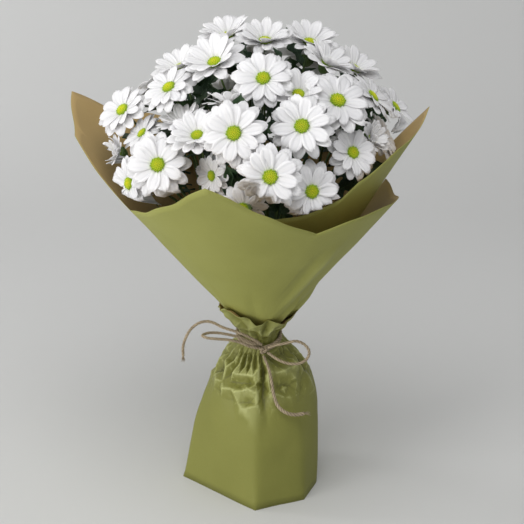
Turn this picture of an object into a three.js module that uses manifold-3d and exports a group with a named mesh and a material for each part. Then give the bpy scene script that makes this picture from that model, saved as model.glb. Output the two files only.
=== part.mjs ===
// A hand-tied bunch of spray chrysanthemums in two paper sheets, with a gathered paper foot and a twine bow.
// Millimetres, +Z up. The origin is the cut end of the middle stem, on the surface that the bunch stands on,
// and -Y is the front. Azimuths are in degrees, anticlockwise from +X as seen from above.

import * as THREE from 'three';
import { mergeVertices } from 'three/addons/utils/BufferGeometryUtils.js';
import Module from 'manifold-3d';

const wasm = await Module();
wasm.setup();

const GAP = 0.3; // clear space between pieces that touch

// The neck, where everything is tied. Its ring dips towards the front.
const NECK_Z = 163;
const NECK_DIP = 6.5;

// Flower heads, set on a dome.
const DOME = new THREE.Vector3(3, 0, 315);
const DOME_REACH = 143;
const CALYX_DEPTH = 9;
const BLOOM_SIDES = 12;

// Stems: one upright in the middle, and a ring of leaning ones that cross at the waist.
const RING_STEMS = 7;
const STEM_WIDTH = 5;
const BRANCH_WIDTH = 2.8;
const STEM_SIDES = 6;
const WAIST_RADIUS = 8.9;
const STEM_LEAN = 0.2256;
const STEM_SPREAD = 0.0034;
const FORK_Z = 238;
const FRONT = 270;
const WAIST_LAG = 75; // how far a ring stem turns between the waist and its fork
const FIRST_BRANCH = 0.88; // branches leave their stem between these shares of its length
const LAST_BRANCH = 0.995;
const BRANCH_START_PULL = 0.3; // how far a branch keeps its first and last direction, as shares of its length
const BRANCH_END_PULL = 0.35;
const MIDDLE_STEM_SERVES = 29; // blooms this near the top, in degrees, grow on the middle stem

// Paper.
const PAPER = 0.8;
const INNER_NECK_RADIUS = 14.2;
const OUTER_NECK_RADIUS = 15.5;
const SKIRT_NECK_RADIUS = 17.2;
const FLARE_START = 10; // above the neck
const FLARE_SOFTNESS = 6;
const OUTER_FLARE = 0.83;
const INNER_FLARE = 0.79;
const INNER_BEND_Z = 224;
const INNER_BEND = 0.21; // how much the inner sheet steepens there
const WRAP_BELOW_NECK = 20;
const NECK_BAND = 6; // the tied neck stays this straight above and below its ring
const NECK_ROWS = [-NECK_BAND, NECK_BAND, 13, 22]; // rows of every sheet, from the neck's ring

// Paper foot.
const SKIRT_ROWS = [0, 0.22, 0.45, 0.62, 0.76, 0.87]; // as shares of the neck's height
const SKIRT_SPREAD = 46;
const SKIRT_SHIFT = 5; // how far its shoulders sit towards +X
const SKIRT_SHOULDER = 38;
const SKIRT_SEAM = 75; // azimuth where the sheet starts
const SKIRT_LAP = 30; // degrees by which it passes its own start
const SKIRT_LAP_LIFT = 1.5;
const FOOT_DROP = 0.8; // share of the neck's height at which the foot's outline starts to count
// Where the skirt's columns lie, as azimuth and number. They meet the foot's corners.
const SKIRT_COLUMNS = [
  [SKIRT_SEAM, 0], [95, 3], [141, 9], [183, 15], [233, 22], [267, 27], [311, 33], [346, 38], [395, 44], [455, 51],
  [SKIRT_SEAM + 360 + SKIRT_LAP, 52],
];
// The collar's edge, as azimuth and height above the neck.
const COLLAR = [
  [SKIRT_SEAM, 30], [105, 35], [135, 28], [165, 35], [190, 35], [212, 42], [233, 52], [251, 46], [269, 36],
  [290, 38], [315, 30], [341, 39], [365, 30], [390, 37], [418, 30], [445, 35], [SKIRT_SEAM + 360 + SKIRT_LAP, 28],
];
const FOOT_CORNERS = [[183, 80], [267, 74], [311, 69], [346, 61], [35, 66], [95, 66], [141, 74]];

// Twine.
const TWINE = 3;
const TWINE_SIDES = 8;
const TIED_SWELL = 1.2; // how far the sheets have opened at the edge of the tied band
const BINDING_RADIUS = SKIRT_NECK_RADIUS + TIED_SWELL + SKIRT_LAP_LIFT + PAPER / 2 + GAP + TWINE / 2;
const BINDING_TURNS = 2;
const BINDING_PITCH = TWINE + GAP + 0.1;
const BINDING_POINTS = 40;
const BINDING_STEPS = 44;
const KNOT_AZIMUTH = 279;
const KNOT_HALF_ANGLE = 12; // degrees that the knot takes up on the ring
const KNOT = { x: 4, y: -27.9, z: 156.3, width: 9, depth: 8.5, height: 8 };

// at: place on the dome, as azimuth and angle from the top. faces: the same for where the head looks.
const BLOOMS = [
  { at: [216, 22], faces: [235, 32], size: 56 },
  { at: [201, 40], faces: [225, 38], size: 52 },
  { at: [180, 59], faces: [222, 46], size: 52, reach: 155 },
  { at: [214, 48], faces: [200, 20], size: 46, reach: 118 },
  { at: [193, 61], faces: [206, 44], size: 42, reach: 132 },
  { at: [186, 73], faces: [216, 66], size: 34, reach: 144 },
  { at: [225, 68], faces: [256, 64], size: 56 },
  { at: [207, 79], faces: [222, 78], size: 48, reach: 140 },
  { at: [238, 54], faces: [250, 34], size: 50, reach: 135 },
  { at: [244, 67], faces: [222, 84], size: 40, reach: 110 },
  { at: [258, 53], faces: [262, 66], size: 56, reach: 148 },
  { at: [271, 28], faces: [266, 46], size: 54 },
  { at: [246, 34], faces: [120, 12], size: 48, reach: 120 },
  { at: [296, 34], faces: [275, 36], size: 50, reach: 134 },
  { at: [313, 43], faces: [290, 42], size: 60, reach: 146 },
  { at: [289, 50], faces: [262, 58], size: 56 },
  { at: [315, 62], faces: [300, 60], size: 48, reach: 131 },
  { at: [273, 68], faces: [270, 66], size: 56, reach: 147 },
  { at: [291, 74], faces: [285, 72], size: 52, reach: 128 },
  { at: [31, 21], faces: [300, 20], size: 52, reach: 149 },
  { at: [262, 80], faces: [255, 82], size: 44, reach: 122 },
  { at: [130, 20], faces: [228, 16], size: 54, reach: 152 },
  { at: [70, 3], faces: [276, 20], size: 50, reach: 145 },
  { at: [343, 26], faces: [340, 32], size: 50 },
  { at: [28, 43], faces: [335, 34], size: 52, reach: 149 },
  { at: [350, 47], faces: [348, 48], size: 52 },
  { at: [22, 64], faces: [350, 52], size: 50, reach: 158 },
  { at: [354, 64], faces: [340, 58], size: 46, reach: 128 },
  { at: [333, 60], faces: [325, 58], size: 34, reach: 130 },
  { at: [58, 36], faces: [55, 40], size: 54 },
  { at: [96, 38], faces: [92, 40], size: 54 },
  { at: [170, 34], faces: [205, 26], size: 50, reach: 142 },
  { at: [150, 52], faces: [158, 42], size: 52, reach: 152 },
  { at: [48, 63], faces: [48, 66], size: 52 },
  { at: [78, 58], faces: [78, 60], size: 54 },
  { at: [106, 62], faces: [108, 62], size: 52, reach: 142 },
  { at: [136, 62], faces: [138, 54], size: 46, reach: 120 },
];

// Top edges of the two sheets, as azimuth and height, in the order each sheet runs. CORNER marks a tip.
const CORNER = true;
const OUTER_RIM = [
  [16, 316], [-2, 313], [-20, 322], [-40, 329], [-56, 325], [-68, 315], [-79, 328], [-88, 343],
  [-104, 374, CORNER], [-120, 344], [-138, 324], [-159, 312], [-168, 340], [-185, 372], [-200, 398, CORNER],
  [-215, 368], [-260, 332],
];
const INNER_RIM = [
  [235, 316], [262, 322], [288, 326], [304, 335], [315, 356], [333, 379], [350, 385], [360.5, 399, CORNER],
  [376, 352], [400, 344], [430, 336], [465, 334], [492, 352], [510, 336],
];
const TIP_FLARE = { azimuth: 362, z: 395, width: 24, lift: 8 };

const LEAF_SECTORS = [0, 1, 3, 4, 6]; // which ring stems carry a leaf
const LEAF_SIDE = [[1, 0], [1, 22], [14, 36], [7, 40], [18, 56], [8, 58], [12, 74], [4, 75], [0, 88]];
const LEAF_THICKNESS = 0.8;
const LEAF_START = { radius: 38, z: 232 };
const LEAF_LEAN = 36; // from straight up
const LEAF_TURN = 12; // past its stem's fork

// The string round the stems under the paper, as radius and height.
const TIE_PROFILE = [[12.4, 146], [13.5, 146], [13.5, 152], [12.4, 152], [12.4, 146]];

const RIGHT_LOOP = [
  [9, -27.5, 158.5], [17, -31, 163], [27, -34, 166.5], [37, -35, 169], [45, -35, 165.5], [50, -34, 157.5],
  [48, -34, 149.5], [41, -36, 145.5], [30, -37, 145.5], [19, -34, 148.5], [8.6, -28, 153.5],
];
const LEFT_LOOP = [
  [-2, -27.5, 158], [-11, -32, 163], [-21, -34, 168], [-31, -35, 170.5], [-42, -35, 171.5], [-51, -34, 172],
  [-56.5, -28, 172], [-51, -21.5, 172], [-42, -21, 172], [-31, -24, 171.5], [-19, -28, 170], [-9, -28.5, 166],
  [-1.2, -25.5, 161.8],
];
const LEFT_TAIL = [
  [2.5, -28, 162], [-4, -33, 169], [-13, -35, 175], [-23, -35, 179.5], [-32, -34, 182], [-38, -33, 184],
  [-44, -33, 187.5], [-51, -33, 189.5], [-59, -33, 188], [-67.5, -32, 181], [-73, -31, 171], [-76, -30, 160.5],
  [-76, -30, 151],
];
const RIGHT_TAIL = [
  [4.5, -30, 150.6], [8, -36, 144.5], [11, -41, 136], [13, -47, 127], [15, -52.5, 117], [19, -56.5, 108],
  [26, -58, 102], [35, -57.5, 99], [45, -54, 98.5],
];

const LOOKS = {
  petals: { color: 0xf2f2ee, roughness: 0.7, metalness: 0 },
  stalk: { color: 0x6f8a4a, roughness: 0.7, metalness: 0 },
  leaf: { color: 0x1f3a20, roughness: 0.6, metalness: 0 },
  paper: { color: 0x8f9450, roughness: 0.85, metalness: 0 },
  twine: { color: 0xa5916e, roughness: 0.95, metalness: 0 },
};

const radians = THREE.MathUtils.degToRad;

/** A point on a ring round the Z axis. */
function onRing(azimuth, radius, z) {
  return new THREE.Vector3(radius * Math.cos(radians(azimuth)), radius * Math.sin(radians(azimuth)), z);
}

/** A unit vector at an azimuth and an angle from straight up. */
function direction([azimuth, fromTop]) {
  return onRing(azimuth, Math.sin(radians(fromTop)), Math.cos(radians(fromTop)));
}

/** The height of the tied neck at an azimuth. */
function neckHeight(azimuth) {
  return NECK_Z + NECK_DIP * Math.sin(radians(azimuth));
}

/** Zero well below zero, x well above it, with a soft bend between. */
function softRamp(x) {
  return (x + Math.hypot(x, FLARE_SOFTNESS)) / 2;
}

/** The value at x of a line through [x, value, corner] points whose x only grows. It is level at each one
 * that is no corner. */
function along(points, x) {
  const last = points.length - 2;
  const i = Math.min(last, Math.max(0, points.findIndex((p) => p[0] > x) - 1));
  const [[x0, a, sharpStart], [x1, b, sharpEnd]] = [points[i], points[i + 1]];
  const t = THREE.MathUtils.clamp((x - x0) / (x1 - x0), 0, 1);
  const leave = sharpStart ? t ** 3 - 2 * t ** 2 + t : 0;
  const arrive = sharpEnd ? t ** 3 - t ** 2 : 0;
  return THREE.MathUtils.lerp(a, b, leave + arrive + 3 * t ** 2 - 2 * t ** 3);
}

/** A closed tube along a curve. */
function tube(curve, width, sides, steps) {
  const corners = Array.from({ length: sides }, (_, i) => {
    const angle = (i * 2 * Math.PI) / sides;
    return new THREE.Vector2(Math.cos(angle), Math.sin(angle)).multiplyScalar(width / 2);
  });
  const outline = new THREE.Shape(corners);
  return new THREE.ExtrudeGeometry(outline, { steps, extrudePath: curve, bevelEnabled: false });
}

/** A smooth curve through a list of [x, y, z] points. */
function route(points) {
  return new THREE.CatmullRomCurve3(points.map((p) => new THREE.Vector3(...p)), false, 'centripetal');
}

/** Several closed geometries joined into one solid. */
function joined(geometries) {
  const [first, ...rest] = geometries.map((geometry) => {
    geometry.deleteAttribute('normal');
    geometry.deleteAttribute('uv');
    const merged = mergeVertices(geometry);
    return new wasm.Manifold(new wasm.Mesh({
      numProp: 3,
      vertProperties: new Float32Array(merged.attributes.position.array),
      triVerts: new Uint32Array(merged.index.array),
    }));
  });
  return rest.reduce((whole, solid) => whole.add(solid), first);
}

/** A solid's surface as a geometry. */
function surface(solid) {
  const mesh = solid.getMesh();
  const geometry = new THREE.BufferGeometry();
  geometry.setAttribute('position', new THREE.BufferAttribute(mesh.vertProperties, 3));
  geometry.setIndex(new THREE.BufferAttribute(mesh.triVerts, 1));
  return geometry;
}

/** A sheet of paper: a thin box bent so that its middle lies on the surface middle(u, v). */
function sheet(columns, rows, middle) {
  const geometry = new THREE.BoxGeometry(1, 1, 1, columns, rows, 1);
  const place = geometry.attributes.position;
  const step = 1e-3;
  for (let i = 0; i < place.count; i += 1) {
    const [u, v, side] = [place.getX(i) + 0.5, place.getY(i) + 0.5, place.getZ(i)];
    const acrossU = middle(u + step, v).sub(middle(u - step, v));
    const acrossV = middle(u, v + step).sub(middle(u, v - step));
    const normal = acrossU.cross(acrossV).normalize();
    const point = middle(u, v).addScaledVector(normal, side * PAPER);
    place.setXYZ(i, point.x, point.y, Math.max(0, point.z));
  }
  return geometry;
}

/** The radius of the outer sheet's cone. */
function outerRadius(azimuth, z) {
  return OUTER_NECK_RADIUS + OUTER_FLARE * softRamp(z - neckHeight(azimuth) - FLARE_START);
}

/** The radius of the inner sheet, which follows the cone and then stands steeper. */
function innerRadius(azimuth, z) {
  const cone = INNER_NECK_RADIUS + INNER_FLARE * softRamp(z - neckHeight(azimuth) - FLARE_START);
  const tip = TIP_FLARE.lift * Math.exp(-(((azimuth - TIP_FLARE.azimuth) / TIP_FLARE.width) ** 2));
  const high = THREE.MathUtils.smoothstep(z, INNER_BEND_Z, TIP_FLARE.z);
  return cone - INNER_BEND * softRamp(z - INNER_BEND_Z) + tip * high;
}

/** The value at a share v of the way through a list of levels. */
function level(levels, v) {
  const place = v * (levels.length - 1);
  const i = Math.min(levels.length - 2, Math.max(0, Math.floor(place)));
  return THREE.MathUtils.lerp(levels[i], levels[i + 1], place - i);
}

/** Heights of a sheet's rows from the neck up to its edge. */
function rowsAbove(azimuth, edge, count) {
  const rows = NECK_ROWS.map((row) => neckHeight(azimuth) + row);
  const start = rows[rows.length - 1];
  return rows.concat(Array.from({ length: count }, (_, i) => start + ((edge - start) * (i + 1)) / count));
}

/** One wrapping sheet, from below the neck up to its rim. */
function wrap(rim, radius, turn, columns, rows) {
  const order = rim.map(([azimuth, z]) => [turn * azimuth, z]);
  const ends = [order[0][0], order[order.length - 1][0]];
  const [from, to] = turn > 0 ? ends : ends.reverse();
  return sheet(columns, rows + NECK_ROWS.length, (u, v) => {
    const place = THREE.MathUtils.lerp(from, to, u);
    const azimuth = turn * place;
    const bottom = neckHeight(azimuth) - WRAP_BELOW_NECK;
    const z = level([bottom, ...rowsAbove(azimuth, along(order, place), rows)], v);
    return onRing(azimuth, radius(azimuth, z), z);
  });
}

/** How far the foot's outline is from the axis at an azimuth. */
function footRadius(azimuth) {
  const pastFirst = (a) => THREE.MathUtils.euclideanModulo(a - FOOT_CORNERS[0][0], 360);
  const turned = pastFirst(azimuth);
  const corners = FOOT_CORNERS.map(([a, r]) => [pastFirst(a), r]);
  const i = corners.findLastIndex(([a]) => a <= turned);
  const [a0, r0] = corners[i];
  const [a1, r1] = corners[i + 1] ?? [360, corners[0][1]];
  const [before, after] = [radians(turned - a0), radians(a1 - turned)];
  return (r0 * r1 * Math.sin(before + after)) / (r0 * Math.sin(before) + r1 * Math.sin(after));
}

/** The paper foot with its collar, from the hem on the floor up to the collar's edge. */
function skirt() {
  const columns = SKIRT_COLUMNS[SKIRT_COLUMNS.length - 1][1];
  return sheet(columns, SKIRT_ROWS.length + NECK_ROWS.length, (u, v) => {
    const azimuth = columnAzimuth(u * columns);
    const lift = SKIRT_LAP_LIFT * u;
    const neck = neckHeight(azimuth);
    const foot = SKIRT_ROWS.map((share) => share * neck);
    const z = level([...foot, ...rowsAbove(azimuth, neck + along(COLLAR, azimuth), 1)], v);
    const clear = SKIRT_NECK_RADIUS - OUTER_NECK_RADIUS;
    if (z > neck - NECK_BAND) {
      return onRing(azimuth, outerRadius(azimuth, z) + clear + lift, z);
    }
    const tied = neck - NECK_BAND;
    const spread = SKIRT_SPREAD + SKIRT_SHIFT * Math.cos(radians(azimuth));
    const round = outerRadius(azimuth, tied) + clear + spread * (1 - Math.exp((z - tied) / SKIRT_SHOULDER));
    const share = Math.max(0, 1 - z / (FOOT_DROP * neck));
    return onRing(azimuth, THREE.MathUtils.lerp(round, footRadius(azimuth), share) + lift, z);
  });
}

/** The azimuth of one of the skirt's columns, which need not be a whole number. */
function columnAzimuth(column) {
  const next = SKIRT_COLUMNS.findIndex(([, count]) => count > column);
  const i = next < 0 ? SKIRT_COLUMNS.length - 2 : Math.max(0, next - 1);
  const [[a0, c0], [a1, c1]] = [SKIRT_COLUMNS[i], SKIRT_COLUMNS[i + 1]];
  return a0 + ((a1 - a0) * (column - c0)) / (c1 - c0);
}

/** A flower head: a shallow dish of petals with its disc, on a calyx. */
function bloom(size) {
  const radius = size / 2 - 2;
  const profile = [[0, -CALYX_DEPTH], [4, -CALYX_DEPTH], [7, -3], [radius, 0.8], [radius, 2], [7, 0.6], [0, 3]];
  const geometry = new THREE.LatheGeometry(profile.map((p) => new THREE.Vector2(...p)), BLOOM_SIDES);
  return geometry.rotateX(Math.PI / 2);
}

/** Where a flower head is and which way it looks. */
function bloomPlace({ at, faces, reach = DOME_REACH }) {
  const centre = direction(at).multiplyScalar(reach).add(DOME);
  const facing = direction(faces);
  const base = centre.clone().addScaledVector(facing, -CALYX_DEPTH - GAP);
  return { centre, facing, base };
}

/** The middle line of a stem from its cut end to its fork. Without a sector it is the upright one. */
function stemLine(sector) {
  const heights = [-STEM_WIDTH, 60, 120, NECK_Z, 190, 215, FORK_Z];
  return new THREE.CatmullRomCurve3(heights.map((z) => {
    if (sector === null) {
      return new THREE.Vector3(0, 0, z);
    }
    const waist = sectorAzimuth(sector) - WAIST_LAG;
    const above = z - NECK_Z;
    const slide = STEM_LEAN * above + STEM_SPREAD * Math.max(0, above) ** 2;
    const start = onRing(waist, WAIST_RADIUS, z);
    return start.add(onRing(waist + 90, slide, 0));
  }));
}

function sectorAzimuth(sector) {
  return FRONT + (360 / RING_STEMS) * sector;
}

/** The ring stem that a flower head grows on, or null for the middle stem. */
function servedBy({ at: [azimuth, fromTop] }) {
  if (fromTop < MIDDLE_STEM_SERVES) {
    return null;
  }
  return THREE.MathUtils.euclideanModulo(Math.round(((azimuth - FRONT) * RING_STEMS) / 360), RING_STEMS);
}

/** A stem with one branch up to each of its flower heads. */
function stem(sector) {
  const line = stemLine(sector);
  const trunk = tube(line, STEM_WIDTH, STEM_SIDES, 7);
  const heads = BLOOMS.filter((head) => servedBy(head) === sector).map(bloomPlace);
  heads.sort((a, b) => a.base.z - b.base.z);
  const branches = heads.map(({ facing, base }, i) => {
    const share = THREE.MathUtils.lerp(FIRST_BRANCH, LAST_BRANCH, (i + 1) / heads.length);
    const start = line.getPointAt(share);
    const reach = start.distanceTo(base);
    const first = start.clone().addScaledVector(line.getTangentAt(share), BRANCH_START_PULL * reach);
    const last = base.clone().addScaledVector(facing, -BRANCH_END_PULL * reach);
    return tube(new THREE.CubicBezierCurve3(start, first, last, base), BRANCH_WIDTH, 5, 5);
  });
  const ground = new THREE.BoxGeometry(300, 300, STEM_WIDTH * 4).translate(0, 0, -STEM_WIDTH * 2);
  return surface(joined([trunk, ...branches]).subtract(joined([ground])));
}

/** A lobed leaf that rises beside a ring stem's fork. */
function leaf(sector) {
  const right = LEAF_SIDE.map(([x, y]) => new THREE.Vector2(x, y));
  const left = LEAF_SIDE.slice(0, -1).map(([x, y]) => new THREE.Vector2(-x, y)).reverse();
  const outline = new THREE.Shape([...right, ...left]);
  const geometry = new THREE.ExtrudeGeometry(outline, { depth: LEAF_THICKNESS, bevelEnabled: false });
  const azimuth = sectorAzimuth(sector) + LEAF_TURN;
  const grow = direction([azimuth, LEAF_LEAN]);
  const across = onRing(azimuth + 90, 1, 0);
  const frame = new THREE.Matrix4().makeBasis(across, grow, across.clone().cross(grow));
  frame.setPosition(onRing(azimuth, LEAF_START.radius, LEAF_START.z));
  return geometry.applyMatrix4(frame);
}

/** The twine round the neck: whole turns, from one side of the knot to the other. */
function binding() {
  const turned = BINDING_TURNS * 360 - 2 * KNOT_HALF_ANGLE;
  const points = Array.from({ length: BINDING_POINTS + 1 }, (_, i) => {
    const azimuth = KNOT_AZIMUTH + KNOT_HALF_ANGLE + (turned * i) / BINDING_POINTS;
    const climb = BINDING_PITCH * ((azimuth - KNOT_AZIMUTH) / 360 - BINDING_TURNS / 2);
    return onRing(azimuth, BINDING_RADIUS, neckHeight(azimuth) + climb);
  });
  return tube(new THREE.CatmullRomCurve3(points), TWINE, TWINE_SIDES, BINDING_STEPS);
}

/** The bow's knot. */
function knot() {
  const geometry = new THREE.SphereGeometry(0.5, 12, 8);
  return geometry.scale(KNOT.width, KNOT.depth, KNOT.height).translate(KNOT.x, KNOT.y, KNOT.z);
}

const bunch = new THREE.Group();

/** Adds one named piece to the bunch. */
function add(name, look, geometry) {
  const piece = new THREE.Mesh(geometry, new THREE.MeshStandardMaterial(LOOKS[look]));
  piece.name = name;
  bunch.add(piece);
  return piece;
}

BLOOMS.forEach((head, i) => {
  const { centre, facing } = bloomPlace(head);
  const piece = add(`bloom_${String(i + 1).padStart(2, '0')}`, 'petals', bloom(head.size));
  piece.position.copy(centre);
  piece.quaternion.setFromUnitVectors(new THREE.Vector3(0, 0, 1), facing);
});

add('stem_middle', 'stalk', stem(null));
for (let sector = 0; sector < RING_STEMS; sector += 1) {
  add(`stem_${sector + 1}`, 'stalk', stem(sector));
}
LEAF_SECTORS.forEach((sector, i) => add(`leaf_${i + 1}`, 'leaf', leaf(sector)));

add('stem_tie', 'twine', new THREE.LatheGeometry(TIE_PROFILE.map((p) => new THREE.Vector2(...p)), 24)
  .rotateX(Math.PI / 2));
add('paper_wrap_inner', 'paper', wrap(INNER_RIM, innerRadius, 1, 46, 3));
add('paper_wrap_outer', 'paper', wrap(OUTER_RIM, outerRadius, -1, 46, 3));
add('paper_skirt', 'paper', skirt());

add('twine_binding', 'twine', binding());
add('twine_knot', 'twine', knot());
add('twine_loop_right', 'twine', tube(route(RIGHT_LOOP), TWINE, TWINE_SIDES, 20));
add('twine_loop_left', 'twine', tube(route(LEFT_LOOP), TWINE, TWINE_SIDES, 22));
add('twine_tail_left', 'twine', tube(route(LEFT_TAIL), TWINE, TWINE_SIDES, 20));
add('twine_tail_right', 'twine', tube(route(RIGHT_TAIL), TWINE, TWINE_SIDES, 14));

export default bunch;
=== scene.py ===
"""A hand-tied bunch of white chrysanthemums in two paper sheets, with a paper foot and a twine bow.

Lengths are in metres, +Z is up and -Y is the front. Each piece is fitted to the CAD nodes that it stands for.
"""

import logging
import math
from dataclasses import dataclass, field
from enum import Enum
from random import Random
from typing import Optional, Sequence, Union

import bmesh
import bpy
import numpy as np
from mathutils import Matrix, Vector, noise
from mathutils.bvhtree import BVHTree
from mathutils.geometry import delaunay_2d_cdt


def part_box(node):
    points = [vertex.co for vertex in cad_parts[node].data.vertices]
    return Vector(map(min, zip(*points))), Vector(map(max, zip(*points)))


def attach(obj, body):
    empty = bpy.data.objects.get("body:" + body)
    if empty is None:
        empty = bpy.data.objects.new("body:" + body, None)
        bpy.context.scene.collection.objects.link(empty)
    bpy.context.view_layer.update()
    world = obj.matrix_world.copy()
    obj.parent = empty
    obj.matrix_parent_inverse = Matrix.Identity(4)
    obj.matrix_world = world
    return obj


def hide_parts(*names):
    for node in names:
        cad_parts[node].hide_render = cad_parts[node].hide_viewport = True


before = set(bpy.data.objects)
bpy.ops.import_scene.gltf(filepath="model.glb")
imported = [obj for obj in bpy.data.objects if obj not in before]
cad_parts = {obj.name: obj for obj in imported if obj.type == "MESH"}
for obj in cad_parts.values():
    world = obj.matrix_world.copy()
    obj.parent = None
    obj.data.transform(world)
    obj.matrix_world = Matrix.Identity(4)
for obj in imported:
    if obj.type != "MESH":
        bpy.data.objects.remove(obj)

LOG = logging.getLogger("bunch")
MM = 0.001
WELD = 1e-6
NECK_Z = 0.163
NECK_DIP = 0.0065
PETAL_GROOVES = 7.85
GOLDEN_ANGLE = 137.508
Colour = tuple[float, float, float]
Route = tuple[tuple[float, float, float], ...]


# --------------------------------------------------------------------------------------------------
# Shader helpers


class Wire:
    """An output socket of a material that takes part in sums."""

    def __init__(self, shader: "Shader", socket: bpy.types.NodeSocket) -> None:
        """Keeps the socket and the material it belongs to."""
        self.shader = shader
        self.socket = socket

    def _sum(self, operation: str, *operands: Union["Wire", float]) -> "Wire":
        """Adds a Math node.

        Args:
            operation: the node's operation.
            operands: its inputs in order.

        Returns:
            The node's result.
        """
        return self.shader.node("ShaderNodeMath", {"operation": operation}, dict(enumerate(operands)))

    def __add__(self, other: Union["Wire", float]) -> "Wire":
        """Self plus other."""
        return self._sum("ADD", self, other)

    def __sub__(self, other: Union["Wire", float]) -> "Wire":
        """Self minus other."""
        return self._sum("SUBTRACT", self, other)

    def __rsub__(self, other: float) -> "Wire":
        """Other minus self."""
        return self._sum("SUBTRACT", other, self)

    def __mul__(self, other: Union["Wire", float]) -> "Wire":
        """Self times other."""
        return self._sum("MULTIPLY", self, other)

    def __pow__(self, power: float) -> "Wire":
        """Self to a power."""
        return self._sum("POWER", self, power)

    __radd__ = __add__
    __rmul__ = __mul__

    def size(self) -> "Wire":
        """The value without its sign."""
        return self._sum("ABSOLUTE", self)

    def wave(self) -> "Wire":
        """A cosine wave from 0, where the value is 0, up to 1 and back."""
        return self._sum("COSINE", self) * -0.5 + 0.5

    def ramp(self, low: float, high: float) -> "Wire":
        """A soft step.

        Args:
            low: where the result is 0.
            high: where the result is 1.

        Returns:
            The step, kept between 0 and 1.
        """
        inputs = {"Value": self, "From Min": low, "From Max": high}
        return self.shader.node("ShaderNodeMapRange", {"interpolation_type": "SMOOTHSTEP"}, inputs)


class Shader:
    """One material, built on its Principled surface."""

    def __init__(self, name: str, **constants: Union[float, Sequence[float]]) -> None:
        """Makes the material.

        Args:
            name: the material's name.
            constants: fixed values of the surface's sockets, with _ for a space in their names.
        """
        self.material = bpy.data.materials.new(name)
        self.material.use_nodes = True
        self.tree = self.material.node_tree
        self.surface = self.tree.nodes["Principled BSDF"]
        for socket, value in constants.items():
            self.feed(self.surface.inputs[socket.replace("_", " ")], value)

    def feed(self, socket: bpy.types.NodeSocket, value: object) -> None:
        """Sets a socket, or links a wire to it.

        Args:
            socket: an input of one of the material's nodes.
            value: a fixed value or a wire.
        """
        if isinstance(value, Wire):
            self.tree.links.new(value.socket, socket)
        else:
            socket.default_value = value

    def node(self, kind: str, settings: Optional[dict] = None, inputs: Optional[dict] = None,
             output: Union[int, str] = 0) -> Wire:
        """Adds a node.

        Args:
            kind: the node's type.
            settings: its own settings, set first.
            inputs: values or wires for its input sockets, by name or index.
            output: which output is returned.

        Returns:
            The chosen output.
        """
        made = self.tree.nodes.new(kind)
        for key, value in (settings or {}).items():
            setattr(made, key, value)
        for key, value in (inputs or {}).items():
            self.feed(made.inputs[key], value)
        return Wire(self, made.outputs[output])

    def trait(self, name: str) -> Wire:
        """A number that the mesh carries for each vertex."""
        return self.node("ShaderNodeAttribute", {"attribute_name": name}, output="Fac")

    def place(self, stretch: Sequence[float] = (1.0, 1.0, 1.0)) -> Wire:
        """Object coordinates, scaled along each axis."""
        here = self.node("ShaderNodeTexCoord", output="Object")
        return self.node("ShaderNodeMapping", inputs={"Vector": here, "Scale": tuple(stretch)})

    def cloud(self, scale: float, detail: float = 3.0, stretch: Sequence[float] = (1.0, 1.0, 1.0)) -> Wire:
        """Soft noise.

        Args:
            scale: how fine it is.
            detail: how many finer layers it has.
            stretch: scale along each axis.

        Returns:
            The noise, around a half.
        """
        inputs = {"Vector": self.place(stretch), "Scale": scale, "Detail": detail}
        return self.node("ShaderNodeTexNoise", inputs=inputs, output="Fac")

    def cracks(self, scale: float) -> Wire:
        """The distance to the edges of a net of random cells.

        Args:
            scale: how many cells there are in a metre.

        Returns:
            The distance, 0 on the edges.
        """
        here = {"Vector": self.place(), "Scale": scale * 0.8}
        bent = self.node("ShaderNodeTexNoise", inputs=here, output="Color")
        spot = self.node("ShaderNodeVectorMath", {"operation": "MULTIPLY_ADD"},
                         {0: bent, 1: (0.6 / scale,) * 3, 2: self.place()})
        return self.node("ShaderNodeTexVoronoi", {"feature": "DISTANCE_TO_EDGE"},
                         {"Vector": spot, "Scale": scale}, "Distance")

    def blend(self, share: Union[Wire, float], first: object, second: object) -> Wire:
        """A mix of two colours.

        Args:
            share: how much of the second there is.
            first: a colour or a wire.
            second: a colour or a wire.

        Returns:
            The mixed colour.
        """
        pair = [c if isinstance(c, Wire) else (*c, 1.0) for c in (first, second)]
        return self.node("ShaderNodeMix", {"data_type": "RGBA"}, {0: share, 6: pair[0], 7: pair[1]}, 2)

    def relief(self, height: Wire, depth: float, strength: float = 1.0) -> None:
        """Lets a height bend the surface's shading.

        Args:
            height: the height, from 0 to 1.
            depth: what 1 stands for, in metres.
            strength: how much of it shows.
        """
        inputs = {"Height": height, "Distance": depth, "Strength": strength}
        self.feed(self.surface.inputs["Normal"], self.node("ShaderNodeBump", inputs=inputs))

    def colour(self, value: Union[Wire, Colour]) -> None:
        """Sets the base colour."""
        self.feed(self.surface.inputs["Base Color"], value if isinstance(value, Wire) else (*value, 1.0))

    def roughness(self, value: Wire) -> None:
        """Sets a roughness that changes over the surface."""
        self.feed(self.surface.inputs["Roughness"], value)


# --------------------------------------------------------------------------------------------------
# Finishes


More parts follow.
